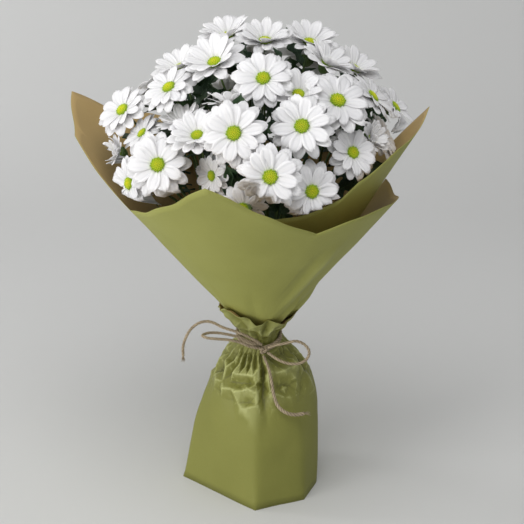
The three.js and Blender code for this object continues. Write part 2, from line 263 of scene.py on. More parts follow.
@dataclass(frozen=True)
class PetalFinish:
    """White petals, greener at the base, with fine lengthwise grooves that carry painted shade."""

    blade: Colour = (0.875, 0.865, 0.865)
    base: Colour = (0.74, 0.79, 0.56)
    # colour of the painted shade in the grooves
    groove: Colour = (0.68, 0.68, 0.71)

    def material(self) -> bpy.types.Material:
        """Builds the material.

        Returns:
            The new material.
        """
        shader = Shader("petal_white", Roughness=0.55, Subsurface_Weight=0.3, Subsurface_Scale=0.003,
                        Subsurface_Radius=(1.0, 1.0, 0.9))
        along, across = shader.trait("along"), shader.trait("across")
        grooves = (across * PETAL_GROOVES).wave() ** 3.0
        streaks = shader.cloud(900.0, 2.0)
        shade = shader.blend(along.ramp(0.05, 0.28), self.base, self.blade)
        # Painted shade in the grooves, weaker towards the tip, plus faint random streaks of real tone.
        mark = grooves * 0.32 * (1.0 - along * 0.6) + streaks * 0.10
        shader.colour(shader.blend(mark, shade, self.groove))
        fine = (across * 40.0).wave() * 0.25
        shader.relief(1.0 - grooves + fine + streaks * 0.2, 0.0004, 0.5)
        return shader.material


@dataclass(frozen=True)
class DiscFinish:
    """The florets of a disc, lime in the middle and greener towards the rim."""

    middle: Colour = (0.80, 0.74, 0.01)
    body: Colour = (0.56, 0.64, 0.008)
    rim: Colour = (0.25, 0.40, 0.010)
    young: Colour = (0.15, 0.29, 0.010)

    def material(self) -> bpy.types.Material:
        """Builds the material.

        Returns:
            The new material.
        """
        shader = Shader("disc_floret", Roughness=0.6, Subsurface_Weight=0.15, Subsurface_Scale=0.001,
                        Subsurface_Radius=(1.0, 1.0, 0.5))
        reach, ripe, tip = shader.trait("reach"), shader.trait("ripe"), shader.trait("tip")
        inner = shader.blend(reach.ramp(0.1, 0.55), self.middle, self.body)
        whole = shader.blend(reach.ramp(0.6, 1.0), inner, self.rim)
        aged = shader.blend((1.0 - ripe) * 0.65, whole, self.young)
        shader.colour(shader.blend((1.0 - tip) * 0.55, aged, self.young))
        shader.relief(shader.cloud(1500.0), 0.0002, 0.6)
        return shader.material


@dataclass(frozen=True)
class GreenFinish:
    """Green stalk and calyx, with fine lengthwise ribs."""

    name: str
    light: Colour
    dark: Colour
    roughness: float = 0.6

    def material(self) -> bpy.types.Material:
        """Builds the material.

        Returns:
            The new material.
        """
        shader = Shader(self.name)
        blotch, ribs = shader.cloud(90.0, 4.0), shader.cloud(700.0, 2.0, (1.0, 1.0, 0.06))
        shader.colour(shader.blend((blotch * 0.6 + ribs * 0.5).ramp(0.3, 0.75), self.light, self.dark))
        shader.roughness(blotch * 0.2 + (self.roughness - 0.1))
        shader.relief(ribs, 0.0004, 0.7)
        return shader.material


@dataclass(frozen=True)
class LeafFinish:
    """Dark matt leaves with paler veins."""

    blade: Colour = (0.014, 0.045, 0.016)
    dry: Colour = (0.035, 0.080, 0.026)
    vein: Colour = (0.08, 0.14, 0.06)

    def material(self) -> bpy.types.Material:
        """Builds the material.

        Returns:
            The new material.
        """
        shader = Shader("leaf_green", Roughness=0.5)
        along, across = shader.trait("along"), shader.trait("across")
        side = across.size()
        midrib = 1.0 - side.ramp(0.0, 0.09)
        veins = ((along * 44.0 - side * 9.0).wave() ** 14.0) * (1.0 - side.ramp(0.5, 1.0))
        net = shader.cracks(420.0).ramp(0.0, 0.12)
        marks = (midrib + veins * 0.6).ramp(0.1, 1.0)
        shade = shader.blend(shader.cloud(60.0, 3.0).ramp(0.4, 0.65), self.blade, self.dry)
        shader.colour(shader.blend(marks * 0.7, shade, self.vein))
        shader.relief(net * 0.5 - marks, 0.0006, 0.6)
        return shader.material


@dataclass(frozen=True)
class PaperFinish:
    """One side of the wrapping paper, with fibres, soft clouding, a painted highlight on its ridges and
    painted shade in its valleys.
    """

    name: str
    tone: Colour
    deep: Colour
    # pale colour of the painted highlight on ridges and outward folds
    ridge_highlight: Colour

    def material(self) -> bpy.types.Material:
        """Builds the material.

        Returns:
            The new material.
        """
        shader = Shader(self.name, Specular_IOR_Level=0.35)
        crumple, fold = shader.trait("crumple"), shader.trait("fold")
        cloud = shader.cloud(14.0, 4.0)
        fibre = shader.cloud(1300.0, 3.0, (1.0, 1.0, 0.35))
        large, small = shader.cracks(60.0), shader.cracks(150.0)
        shade = shader.blend(cloud.ramp(0.3, 0.7) * 0.5, self.tone, self.deep)
        speckled = shader.blend(fibre.ramp(0.50, 0.72) * 0.22, shade, self.deep)
        ridge = shader.trait("ridge")
        # Painted highlight: outward folds and sharp ridges are lightened towards the pale highlight colour.
        lit_ridges = shader.blend(fold.ramp(0.2, 1.0) * 0.22 + ridge.ramp(0.15, 1.0) * 0.34, speckled, self.ridge_highlight)
        # Painted shade: inward folds and valleys are darkened towards half the deep tone.
        valley_shade_colour = tuple(0.5 * c for c in self.deep)
        valley = (0.0 - fold).ramp(0.1, 1.0) * 0.5 + (0.0 - ridge).ramp(0.15, 1.0) * 0.38
        shader.colour(shader.blend(valley, lit_ridges, valley_shade_colour))
        shader.roughness(fibre * 0.14 + 0.60 - crumple * 0.17)
        height = fibre * 0.04 + cloud * 0.4 + large * crumple * 0.9
        shader.relief(height + small * crumple * 0.5, 0.0030, 0.5)
        return shader.material


@dataclass(frozen=True)
class TwineFinish:
    """Dry jute with fine fibres that run with the twist, and painted shade in the grooves between its
    strands.
    """

    light: Colour = (0.46, 0.37, 0.245)
    # dark tone of the fibres, also used for the painted shade between strands
    dark: Colour = (0.125, 0.092, 0.058)

    def material(self) -> bpy.types.Material:
        """Builds the material.

        Returns:
            The new material.
        """
        shader = Shader("jute", Roughness=0.92)
        along, strand = shader.trait("along"), shader.trait("strand")
        fibre = shader.cloud(1600.0, 4.0)
        hairs = (along * 900.0 + fibre * 7.0).wave()
        # Painted shade: the tone falls towards dark where strand is low, in the grooves between strands;
        # fibre and hairs add real variation.
        tone = (strand * 0.75 + fibre * 0.45 + hairs * 0.12).ramp(0.15, 0.95)
        blotch = shader.cloud(130.0, 2.0).ramp(0.35, 0.7)
        shader.colour(shader.blend(tone * (blotch * 0.35 + 0.65), self.dark, self.light))
        shader.relief(fibre * 0.6 + hairs * 0.4, 0.0005, 0.8)
        return shader.material


@dataclass(frozen=True)
class StudioFinish:
    """The smooth pale paper of the studio's floor and back."""

    tone: Colour = (0.62, 0.62, 0.61)

    def material(self) -> bpy.types.Material:
        """Builds the material.

        Returns:
            The new material.
        """
        shader = Shader("studio", Roughness=0.85, Specular_IOR_Level=0.2)
        grain = shader.cloud(60.0, 3.0)
        shader.colour(shader.blend(grain * 0.08, self.tone, tuple(0.9 * c for c in self.tone)))
        shader.relief(grain, 0.0004, 0.1)
        return shader.material


@dataclass
class Palette:
    """Every material of the bunch, built once."""

    petal: bpy.types.Material = field(default_factory=lambda: PetalFinish().material())
    disc: bpy.types.Material = field(default_factory=lambda: DiscFinish().material())
    calyx: bpy.types.Material = field(default_factory=lambda: GreenFinish(
        "calyx_green", (0.16, 0.25, 0.07), (0.07, 0.13, 0.035)).material())
    stalk: bpy.types.Material = field(default_factory=lambda: GreenFinish(
        "stalk_green", (0.13, 0.20, 0.06), (0.05, 0.09, 0.025)).material())
    leaf: bpy.types.Material = field(default_factory=lambda: LeafFinish().material())
    # The third colour of each paper is its painted highlight on ridges; half its second colour is its painted
    # valley shade.
    green_paper: bpy.types.Material = field(default_factory=lambda: PaperFinish(
        "paper_green", (0.328, 0.331, 0.086), (0.270, 0.275, 0.062), (0.56, 0.58, 0.26)).material())
    # The foot's paper is a darker copy of the cone's green paper: painted shade for the foot.
    foot_shaded_paper: bpy.types.Material = field(default_factory=lambda: PaperFinish(
        "paper_green_shaded_foot", (0.215, 0.217, 0.047), (0.175, 0.177, 0.034), (0.60, 0.62, 0.27)).material())
    kraft_paper: bpy.types.Material = field(default_factory=lambda: PaperFinish(
        "paper_kraft", (0.50, 0.355, 0.150), (0.41, 0.275, 0.105), (0.62, 0.50, 0.28)).material())
    jute: bpy.types.Material = field(default_factory=lambda: TwineFinish().material())


# --------------------------------------------------------------------------------------------------
# Mesh helpers


def soft_step(x: float) -> float:
    """Zero below 0, one above 1, with a soft slope between."""
    x = min(1.0, max(0.0, x))
    return x * x * (3.0 - 2.0 * x)


def soft_steps(x: np.ndarray) -> np.ndarray:
    """The same for an array."""
    x = np.clip(x, 0.0, 1.0)
    return x * x * (3.0 - 2.0 * x)


def welded(node: str) -> bmesh.types.BMesh:
    """A copy of a CAD node's mesh with its loose triangles joined up.

    Args:
        node: the CAD node.

    Returns:
        The copy.
    """
    body = bmesh.new()
    body.from_mesh(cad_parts[node].data)
    for layers in (body.loops.layers.uv, body.loops.layers.color):
        for layer in list(layers.values()):
            layers.remove(layer)
    bmesh.ops.remove_doubles(body, verts=body.verts, dist=WELD)
    return body


def corners(node: str) -> np.ndarray:
    """Reads a CAD node's separate corners.

    Args:
        node: the CAD node.

    Returns:
        Their places, one row each.
    """
    body = welded(node)
    places = np.array([v.co for v in body.verts])
    body.free()
    return places


def flat_mesh(name: str, columns: int, rows: int) -> bpy.types.Mesh:
    """A square grid that carries where each vertex is across, from -1 to 1, and along, from 0 to 1.

    Args:
        name: the mesh's name.
        columns: how many faces there are across.
        rows: how many there are along.

    Returns:
        The grid.
    """
    body = bmesh.new()
    bmesh.ops.create_grid(body, x_segments=columns, y_segments=rows, size=1.0)
    across = body.verts.layers.float.new("across")
    along = body.verts.layers.float.new("along")
    for vert in body.verts:
        vert[across] = vert.co.x
        vert[along] = (vert.co.y + 1.0) / 2.0
    made = bpy.data.meshes.new(name)
    body.to_mesh(made)
    body.free()
    return made


def piece(name: str, body: bmesh.types.BMesh, material: bpy.types.Material,
          stands_for: Sequence[str] = ()) -> bpy.types.Object:
    """Turns a bmesh into a smooth piece of the bunch.

    Args:
        name: the piece's name.
        body: its mesh, which is used up.
        material: its finish.
        stands_for: the CAD nodes that it replaces.

    Returns:
        The new object.
    """
    data = bpy.data.meshes.new(name)
    body.to_mesh(data)
    body.free()
    data.polygons.foreach_set("use_smooth", [True] * len(data.polygons))
    data.materials.append(material)
    made = bpy.data.objects.new(name, data)
    bpy.context.scene.collection.objects.link(made)
    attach(made, "root")
    if stands_for:
        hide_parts(*stands_for)
    LOG.info("%s: %d faces", name, len(data.polygons))
    return made


def thicken(target: bpy.types.Object, wall: float, inner_slot: int = 0) -> None:
    """Gives a sheet its thickness, inwards from its faces.

    Args:
        target: the sheet.
        wall: its thickness.
        inner_slot: how many material slots further the inner side uses; the rim keeps the outer side's slot.
    """
    solid = target.modifiers.new("wall", "SOLIDIFY")
    solid.thickness = wall
    solid.offset = -1.0
    solid.material_offset = inner_slot
    solid.material_offset_rim = 0


def rounded(target: bpy.types.Object, levels: int) -> None:
    """Smooths a piece with a subdivision surface."""
    smooth = target.modifiers.new("round", "SUBSURF")
    smooth.levels = smooth.render_levels = levels


def basis(z_axis: Vector, x_hint: Vector, origin: Vector) -> Matrix:
    """A frame whose Z is z_axis and whose X leans towards x_hint.

    Args:
        z_axis: the frame's Z.
        x_hint: roughly its X.
        origin: where it is.

    Returns:
        The 4x4 matrix.
    """
    z = z_axis.normalized()
    y = z.cross(x_hint).normalized()
    x = y.cross(z)
    turn = Matrix((x, y, z)).transposed().to_4x4()
    turn.translation = origin
    return turn


def polar(azimuth: float, fall: float) -> Vector:
    """A unit vector at an azimuth and an angle from straight up, both in degrees."""
    a, f = math.radians(azimuth), math.radians(fall)
    return Vector((math.cos(a) * math.sin(f), math.sin(a) * math.sin(f), math.cos(f)))


# --------------------------------------------------------------------------------------------------
# Camera, studio


@dataclass
class Viewpoint:
    """The camera in front of the bunch, a little above it."""

    target: Vector = field(default_factory=lambda: Vector((0.003, 0.0, 0.240)))
    distance: float = 1.400
    elevation: float = 20.5
    lens: float = 96.18
    sensor: float = 36.0

    def build(self) -> bpy.types.Object:
        """Makes the scene's camera.

        Returns:
            The camera.
        """
        data = bpy.data.cameras.new("camera")
        data.lens = self.lens
        data.sensor_width = self.sensor
        made = bpy.data.objects.new("camera", data)
        bpy.context.scene.collection.objects.link(made)
        rise = math.radians(self.elevation)
        back = Vector((0.0, -math.cos(rise), math.sin(rise)))
        made.location = self.target + back * self.distance
        made.rotation_euler = (-back).to_track_quat("-Z", "Y").to_euler()
        bpy.context.scene.camera = made
        return made


@dataclass
class Lamp:
    """One soft lamp that points at the bunch."""

    name: str
    place: Vector
    size: float
    power: float
    tint: Colour = (1.0, 1.0, 1.0)
    target: Vector = field(default_factory=lambda: Vector((0.0, 0.0, 0.25)))

    def build(self) -> bpy.types.Object:
        """Makes the lamp.

        Returns:
            The lamp.
        """
        data = bpy.data.lights.new(self.name, "AREA")
        data.shape = "DISK"
        data.size = self.size
        data.energy = self.power
        data.color = self.tint
        made = bpy.data.objects.new(self.name, data)
        bpy.context.scene.collection.objects.link(made)
        made.location = self.place
        made.rotation_euler = (self.target - self.place).to_track_quat("-Z", "Y").to_euler()
        return made


@dataclass
class Studio:
    """A pale seamless floor that curves up behind the bunch, and soft light from the upper left."""

    width: float = 9.0
    front: float = -3.0
    bend_start: float = 0.9
    bend_radius: float = 0.9
    height: float = 4.0
    ambient: float = 0.41
    sky: Colour = (0.97, 0.98, 1.0)

    def sweep(self) -> bpy.types.Object:
        """Builds the floor and back as one bent sheet.

        Returns:
            The sweep.
        """
        body = bmesh.new()
        bmesh.ops.create_grid(body, x_segments=8, y_segments=60, size=1.0)
        quarter = self.bend_radius * math.pi / 2.0
        total = self.bend_start - self.front + quarter + self.height
        for vert in body.verts:
            run = (vert.co.y + 1.0) / 2.0 * total + self.front
            past = run - self.bend_start
            angle = min(max(past / self.bend_radius, 0.0), math.pi / 2.0)
            y = min(run, self.bend_start) + self.bend_radius * math.sin(angle)
            z = self.bend_radius * (1.0 - math.cos(angle)) + max(0.0, past - quarter)
            vert.co = (vert.co.x * self.width / 2.0, y, z)
        data = bpy.data.meshes.new("studio_sweep")
        body.to_mesh(data)
        body.free()
        data.polygons.foreach_set("use_smooth", [True] * len(data.polygons))
        data.materials.append(StudioFinish().material())
        made = bpy.data.objects.new("studio_sweep", data)
        bpy.context.scene.collection.objects.link(made)
        return made

    def build(self) -> None:
        """Makes the sweep, the lamps and the ambient light."""
        self.sweep()
        Lamp("key", Vector((-1.75, -1.35, 0.52)), 1.3, 24.0, (1.0, 0.995, 0.985)).build()
        Lamp("top", Vector((-0.1, -1.0, 2.0)), 1.8, 23.0).build()
        Lamp("backdrop", Vector((-2.3, 0.6, 1.4)), 1.0, 17.0, target=Vector((-1.5, 1.8, 0.5))).build()
        world = bpy.data.worlds.new("studio_world")
        world.use_nodes = True
        background = world.node_tree.nodes["Background"]
        background.inputs["Color"].default_value = (*self.sky, 1.0)
        background.inputs["Strength"].default_value = self.ambient
        bpy.context.scene.world = world
        bpy.context.scene.view_settings.view_transform = "Standard"


# --------------------------------------------------------------------------------------------------
# Twine


def smooth_route(points: Sequence[Sequence[float]], spacing: float) -> list[Vector]:
    """A smooth line through points, as a centripetal Catmull-Rom curve.

    Args:
        points: the places it goes through, in metres.
        spacing: roughly how far apart the results are.

    Returns:
        Points along the line.
    """
    knots = [Vector(p) for p in points]
    ends = (2.0 * knots[0] - knots[1], 2.0 * knots[-1] - knots[-2])
    knots = [ends[0], *knots, ends[1]]
    line = []
    for a, b, c, d in zip(knots, knots[1:], knots[2:], knots[3:]):
        gaps = [math.sqrt((q - p).length) for p, q in ((a, b), (b, c), (c, d))]
        out = (b - a) / gaps[0] - (c - a) / (gaps[0] + gaps[1]) + (c - b) / gaps[1]
        into = (c - b) / gaps[1] - (d - b) / (gaps[1] + gaps[2]) + (d - c) / gaps[2]
        start, end = out * gaps[1], into * gaps[1]
        count = max(2, round((c - b).length / spacing))
        for i in range(count):
            t = i / count
            line.append(b * (2 * t**3 - 3 * t**2 + 1) + start * (t**3 - 2 * t**2 + t)
                        + c * (3 * t**2 - 2 * t**3) + end * (t**3 - t**2))
    line.append(knots[-2])
    return line


def route_length(line: Sequence[Vector]) -> float:
    """The length of a line of points."""
    return sum((b - a).length for a, b in zip(line, line[1:]))


class End(Enum):
    """What a run of twine ends in."""

    HIDDEN = "hidden"
    FRAYED = "frayed"


@dataclass
class TwineRun:
    """A length of three-strand jute twine along a line."""

    name: str
    line: list[Vector]
    palette: Palette
    seed: int
    stands_for: tuple[str, ...] = ()
    end: End = End.HIDDEN
    width: float = 3.0 * MM
    strands: int = 3
    sides: int = 18
    turn_every: float = 11.0 * MM
    groove: float = 0.30
    loosened: float = 0.0
    hairs_per_metre: float = 900.0
    hair_radius: float = 0.06
    fray_radius: float = 0.22
    fray_hairs: int = 34
    fray_lean: float = 26.0

    def frames(self) -> list[Matrix]:
        """Sets a frame at each point of the line, without needless turning.

        Returns:
            The frames, whose Z follows the line.
        """
        side = Vector((0.0, 0.0, 1.0))
        made = []
        for i, point in enumerate(self.line):
            ahead = self.line[min(i + 1, len(self.line) - 1)] - self.line[max(i - 1, 0)]
            if abs(ahead.normalized().dot(side)) > 0.98:
                side = Vector((1.0, 0.0, 0.0))
            turned = basis(ahead, side, point)
            side = turned.col[0].to_3d()
            made.append(turned)
        return made

    def rope(self) -> bmesh.types.BMesh:
        """Winds the twisted strands as one closed tube.

        Returns:
            The tube.
        """
        body = bmesh.new()
        last = len(self.line) - 1
        bmesh.ops.create_grid(body, x_segments=self.sides, y_segments=last, size=1.0)
        strand = body.verts.layers.float.new("strand")
        along = body.verts.layers.float.new("along")
        frames, run = self.frames(), [0.0]
        for a, b in zip(self.line, self.line[1:]):
            run.append(run[-1] + (b - a).length)
        for vert in body.verts:
            i = round((vert.co.y + 1.0) / 2.0 * last)
            angle = (vert.co.x + 1.0) * math.pi
            twist = 2.0 * math.pi * run[i] / self.turn_every
            ridge = abs(math.cos((angle - twist) * self.strands / 2.0))
            loose = 1.0 + 0.10 * noise.noise(Vector((run[i] * 160.0, self.seed, 0.0)))
            loose += self.loosened * soft_step(run[i] / run[-1])
            reach = self.width / 2.0 * loose * (1.0 - self.groove + self.groove * ridge)
            # strand is 1 on a strand's crest and 0 in the groove beside it; the finish paints shade into the
            # grooves from it.
            vert[strand] = ridge
            vert[along] = run[i]
            vert.co = frames[i] @ Vector((reach * math.cos(angle), reach * math.sin(angle), 0.0))
        bmesh.ops.remove_doubles(body, verts=body.verts, dist=WELD)
        rims = [e for e in body.edges if e.is_boundary]
        bmesh.ops.holes_fill(body, edges=rims, sides=self.sides)
        bmesh.ops.recalc_face_normals(body, faces=body.faces)
        return body

    def hairs(self) -> bmesh.types.BMesh:
        """Sets loose fibres that stand out from the twine, and the fray of a bare end.

        Returns:
            The fibres.
        """
        body = bmesh.new()
        strand = body.verts.layers.float.new("strand")
        body.verts.layers.float.new("along")
        dice, frames = Random(self.seed), self.frames()
        count = round(route_length(self.line) * self.hairs_per_metre)
        shots = [(dice.randrange(len(frames)), dice.uniform(1.5, 3.6), self.hair_radius, dice.uniform(25, 75))
                 for _ in range(count)]
        if self.end is End.FRAYED:
            shots += [(len(frames) - 1, dice.uniform(3.0, 7.5), self.fray_radius,
                       dice.uniform(0, self.fray_lean)) for _ in range(self.fray_hairs)]
        for i, length, radius, lean in shots:
            made = bmesh.ops.create_cone(body, segments=3, radius1=radius * MM, radius2=radius * MM * 0.3,
                                         depth=length * MM, cap_ends=True, cap_tris=True)["verts"]
            for vert in made:
                vert[strand] = dice.uniform(0.5, 1.0)
            if lean > self.fray_lean and dice.random() < 0.5:
                lean = 180 - lean
            angle = dice.uniform(0.0, 2.0 * math.pi)
            foot = 0.12 if radius == self.fray_radius else 0.42
            out = Vector((math.cos(angle), math.sin(angle), 0.0)) * self.width * foot
            tilt = basis(polar(math.degrees(angle), lean), Vector((0.3, 0.2, 1.0)), out)
            lift = Matrix.Translation((0.0, 0.0, length * MM / 2.0))
            bmesh.ops.transform(body, matrix=frames[i] @ tilt @ lift, verts=made)
        return body

    def build(self) -> tuple[bpy.types.Object, bpy.types.Object]:
        """Makes the run.

        Returns:
            The rope and its loose fibres.
        """
        rope = piece(self.name, self.rope(), self.palette.jute, self.stands_for)
        return rope, piece(f"{self.name}_fibres", self.hairs(), self.palette.jute)

    def declare(self) -> bpy.types.Object:
        """Makes the run.

        Returns:
            The rope.
        """
        rope, fibres = self.build()
        route_length(self.line)
        return rope


@dataclass
class Bow:
    """The twine bow: two loops, two tails, a knot, and the turns round the neck."""

    palette: Palette
    ring_radius: float = 0.0221
    knot_azimuth: float = 279.0
    half_gap: float = 5.0
    turns: int = 2
    pitch: float = 0.0034
    right_loop: Route = (
        (0.009, -0.0275, 0.1585), (0.017, -0.031, 0.163), (0.027, -0.034, 0.1665), (0.037, -0.035, 0.169),
        (0.045, -0.035, 0.1655), (0.050, -0.034, 0.1575), (0.048, -0.034, 0.1495), (0.041, -0.036, 0.1455),
        (0.030, -0.037, 0.1455), (0.019, -0.034, 0.1485), (0.0086, -0.028, 0.1535))
    left_loop: Route = (
        (-0.002, -0.0275, 0.158), (-0.011, -0.032, 0.163), (-0.021, -0.034, 0.168), (-0.031, -0.035, 0.1705),
        (-0.042, -0.035, 0.1715), (-0.051, -0.034, 0.172), (-0.0565, -0.028, 0.172), (-0.051, -0.0215, 0.172),
        (-0.042, -0.021, 0.172), (-0.031, -0.024, 0.1715), (-0.019, -0.028, 0.170), (-0.009, -0.0285, 0.166),
        (-0.0012, -0.0255, 0.1618))
    left_tail: Route = (
        (0.0025, -0.028, 0.162), (-0.004, -0.033, 0.169), (-0.013, -0.035, 0.175), (-0.023, -0.035, 0.1795),
        (-0.032, -0.034, 0.182), (-0.038, -0.033, 0.184), (-0.044, -0.033, 0.1875), (-0.051, -0.033, 0.1895),
        (-0.059, -0.033, 0.188), (-0.0675, -0.032, 0.181), (-0.073, -0.031, 0.171), (-0.076, -0.030, 0.1605),
        (-0.076, -0.030, 0.151))
    right_tail: Route = (
        (0.0045, -0.030, 0.1506), (0.008, -0.036, 0.1445), (0.011, -0.041, 0.136), (0.013, -0.047, 0.127),
        (0.015, -0.0525, 0.117), (0.019, -0.0565, 0.108), (0.026, -0.058, 0.102), (0.035, -0.0575, 0.099),
        (0.045, -0.054, 0.0985))
    loose_tail: float = 0.30
    step: float = 0.8 * MM
    knot_points: int = 121
    string_width: float = 1.4 * MM
    string_wraps: int = 4
    string_steps: int = 70

    def free_runs(self) -> None:
        """Makes the loops and the tails, which hang free."""
        runs = (("twine_loop_right", self.right_loop, "object", End.HIDDEN),
                ("twine_loop_left", self.left_loop, "object", End.HIDDEN),
                ("twine_tail_left", self.left_tail, "bare", End.FRAYED),
                ("twine_tail_right", self.right_tail, "bare", End.FRAYED))
        for seed, (node, points, far_end, end) in enumerate(runs):
            line = smooth_route(points, self.step)
            loosened = self.loose_tail if node == "twine_tail_right" else 0.0
            run = TwineRun(f"{node}_rope", line, self.palette, seed, (node,), end, loosened=loosened)
            run.declare()

    def ring(self) -> None:
        """Winds the twine round the neck."""
        first = self.knot_azimuth + self.half_gap
        span = 360.0 * self.turns - 2.0 * self.half_gap
        count = round(2.0 * math.pi * self.ring_radius * self.turns / self.step)
        line = []
        for i in range(count + 1):
            azimuth = first + span * i / count
            climb = self.pitch * ((azimuth - self.knot_azimuth) / 360.0 - self.turns / 2.0)
            wander = 0.5 * MM * noise.noise(Vector((azimuth / 25.0, 3.0, 0.0)))
            point = polar(azimuth, 90.0) * self.ring_radius
            point.z = NECK_Z + NECK_DIP * math.sin(math.radians(azimuth)) + climb + wander
            line.append(point)
        TwineRun("twine_ring", line, self.palette, 11, ("twine_binding",)).build()

    def knot(self) -> None:
        """Ties the knot, a small trefoil drawn tight."""
        low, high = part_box("twine_knot")
        middle, size = (low + high) / 2.0, high - low
        half = (size - Vector((1.0, 1.0, 1.0)) * TwineRun.width) / 2.0
        line = []
        for i in range(self.knot_points):
            t = 2.0 * math.pi * i / self.knot_points
            x = (math.sin(t) + 2.0 * math.sin(2.0 * t)) / 2.6
            z = (math.cos(t) - 2.0 * math.cos(2.0 * t)) / 2.6
            line.append(middle + Vector((x * half.x, -math.sin(3.0 * t) * half.y * 0.8, z * half.z)))
        TwineRun("twine_knot_tied", line, self.palette, 12, ("twine_knot",), turn_every=7.0 * MM).build()

    def stem_string(self) -> None:
        """Winds the thin string round the stems, under the paper."""
        low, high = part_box("stem_tie")
        width, last = self.string_width, self.string_wraps * self.string_steps
        radius = (high.x - low.x) / 2.0 - width / 2.0
        line = []
        for i in range(last + 1):
            point = polar(i * 360.0 / self.string_steps, 90.0) * radius
            point.z = low.z + width / 2.0 + (high.z - low.z - width) * i / last
            line.append(point)
        TwineRun("stem_string", line, self.palette, 13, ("stem_tie",), width=width, sides=9,
                 turn_every=5.0 * MM, hairs_per_metre=100.0).build()

    def build(self) -> None:
        """Makes every piece of twine."""
        self.free_runs()
        self.ring()
        self.knot()
        self.stem_string()


# --------------------------------------------------------------------------------------------------
# Flowers


@dataclass(frozen=True)
class HeadPose:
    """Where a flower head is, which way it looks, and how far its petals reach."""

    centre: Vector
    facing: Vector
    radius: float

    @classmethod
    def of(cls, node: str) -> "HeadPose":
        """Reads the pose from a CAD head, a shallow dish on a longer calyx.

        Args:
            node: the CAD node.

        Returns:
            The head's pose.
        """
        places = corners(node)
        middle = places.mean(axis=0)
        axis = np.linalg.svd(places - middle)[2][2]
        depth = (places - middle) @ axis
        if depth.max() > -depth.min():
            axis, depth = -axis, -depth
        out = np.linalg.norm(places - middle - np.outer(depth, axis), axis=1)
        rim = out > 0.98 * out.max()
        dish_above, past_rim = 1.4 * MM, 2.0 * MM
        centre = middle + axis * (depth[rim].mean() - dish_above)
        return cls(Vector(centre), Vector(axis), float(out.max()) + past_rim)


class Opening(Enum):
    """How far a flower head has opened."""

    HALF = "half"
    CUPPED = "cupped"
    FULL = "full"

    @classmethod
    def of(cls, pose: HeadPose) -> "Opening":
        """Picks the opening: small heads are half open, and those that look up are cupped.

        Args:
            pose: the head's pose.

        Returns:
            How far it has opened.
        """
        half_open_radius, looks_up = 18.0 * MM, 0.80
        if pose.radius < half_open_radius:
            return cls.HALF
        return cls.CUPPED if pose.facing.z > looks_up else cls.FULL


@dataclass(frozen=True)
class PetalRow:
    """One ring of petals. Lengths are shares of the head's radius and angles are in degrees.

    rise is a petal's slope at its foot, droop is how much it bends down and lift is how far its foot is
    raised.
    """

    count: int
    reach: float
    width: float
    rise: float
    droop: float
    lift: float


ROWS = {
    Opening.FULL: (
        PetalRow(13, 1.13, 0.46, 7.0, 20.0, 0.00),
        PetalRow(10, 1.00, 0.44, 20.0, 20.0, 0.05),
    ),
    Opening.CUPPED: (
        PetalRow(13, 1.18, 0.44, 26.0, 16.0, 0.00),
        PetalRow(10, 1.08, 0.42, 42.0, 12.0, 0.05),
    ),
    Opening.HALF: (
        PetalRow(12, 1.22, 0.44, 44.0, 8.0, 0.00),
        PetalRow(9, 1.10, 0.42, 62.0, 4.0, 0.04),
    ),
}


@dataclass
class PaperRoom:
    """The space inside the two wrapping sheets, read from their CAD nodes.

    Above the rim the room widens by overhang for each metre.
    """

    sheets: tuple[str, ...] = ("paper_wrap_inner", "paper_wrap_outer")
    bins: int = 72
    cone_from: float = 0.20
    look_aside: float = 1.3
    margin: float = 2.0 * MM
    overhang: float = 2.5

    def __post_init__(self) -> None:
        """Fits the cone and reads the height of the rim all round."""
        places = np.vstack([corners(node) for node in self.sheets])
        azimuth = np.degrees(np.arctan2(places[:, 1], places[:, 0])) % 360.0
        width = 360.0 / self.bins
        self.rim = []
        for i in range(self.bins):
            near = np.abs((azimuth - (i + 0.5) * width + 180.0) % 360.0 - 180.0) < self.look_aside * width
            self.rim.append(float(places[near, 2].max()))
        wall = corners(self.sheets[0])
        wall = wall[wall[:, 2] > self.cone_from]
        self.slope, self.start = np.polyfit(wall[:, 2], np.hypot(wall[:, 0], wall[:, 1]), 1)
        LOG.info("cone slope %.2f, %d places", self.slope, len(places))

    def inside(self, point: Vector) -> Vector:
        """Pulls a point in from the paper.

        Args:
            point: any place.

        Returns:
            The same place, or one just inside the paper if it was past it.
        """
        azimuth = math.degrees(math.atan2(point.y, point.x)) % 360.0
        over = max(0.0, point.z - self.rim[int(azimuth * self.bins / 360.0) % self.bins])
        room = self.start + self.slope * point.z - self.margin + self.overhang * over
        reach = math.hypot(point.x, point.y)
        if reach <= room:
            return point
        return Vector((point.x * room / reach, point.y * room / reach, point.z))


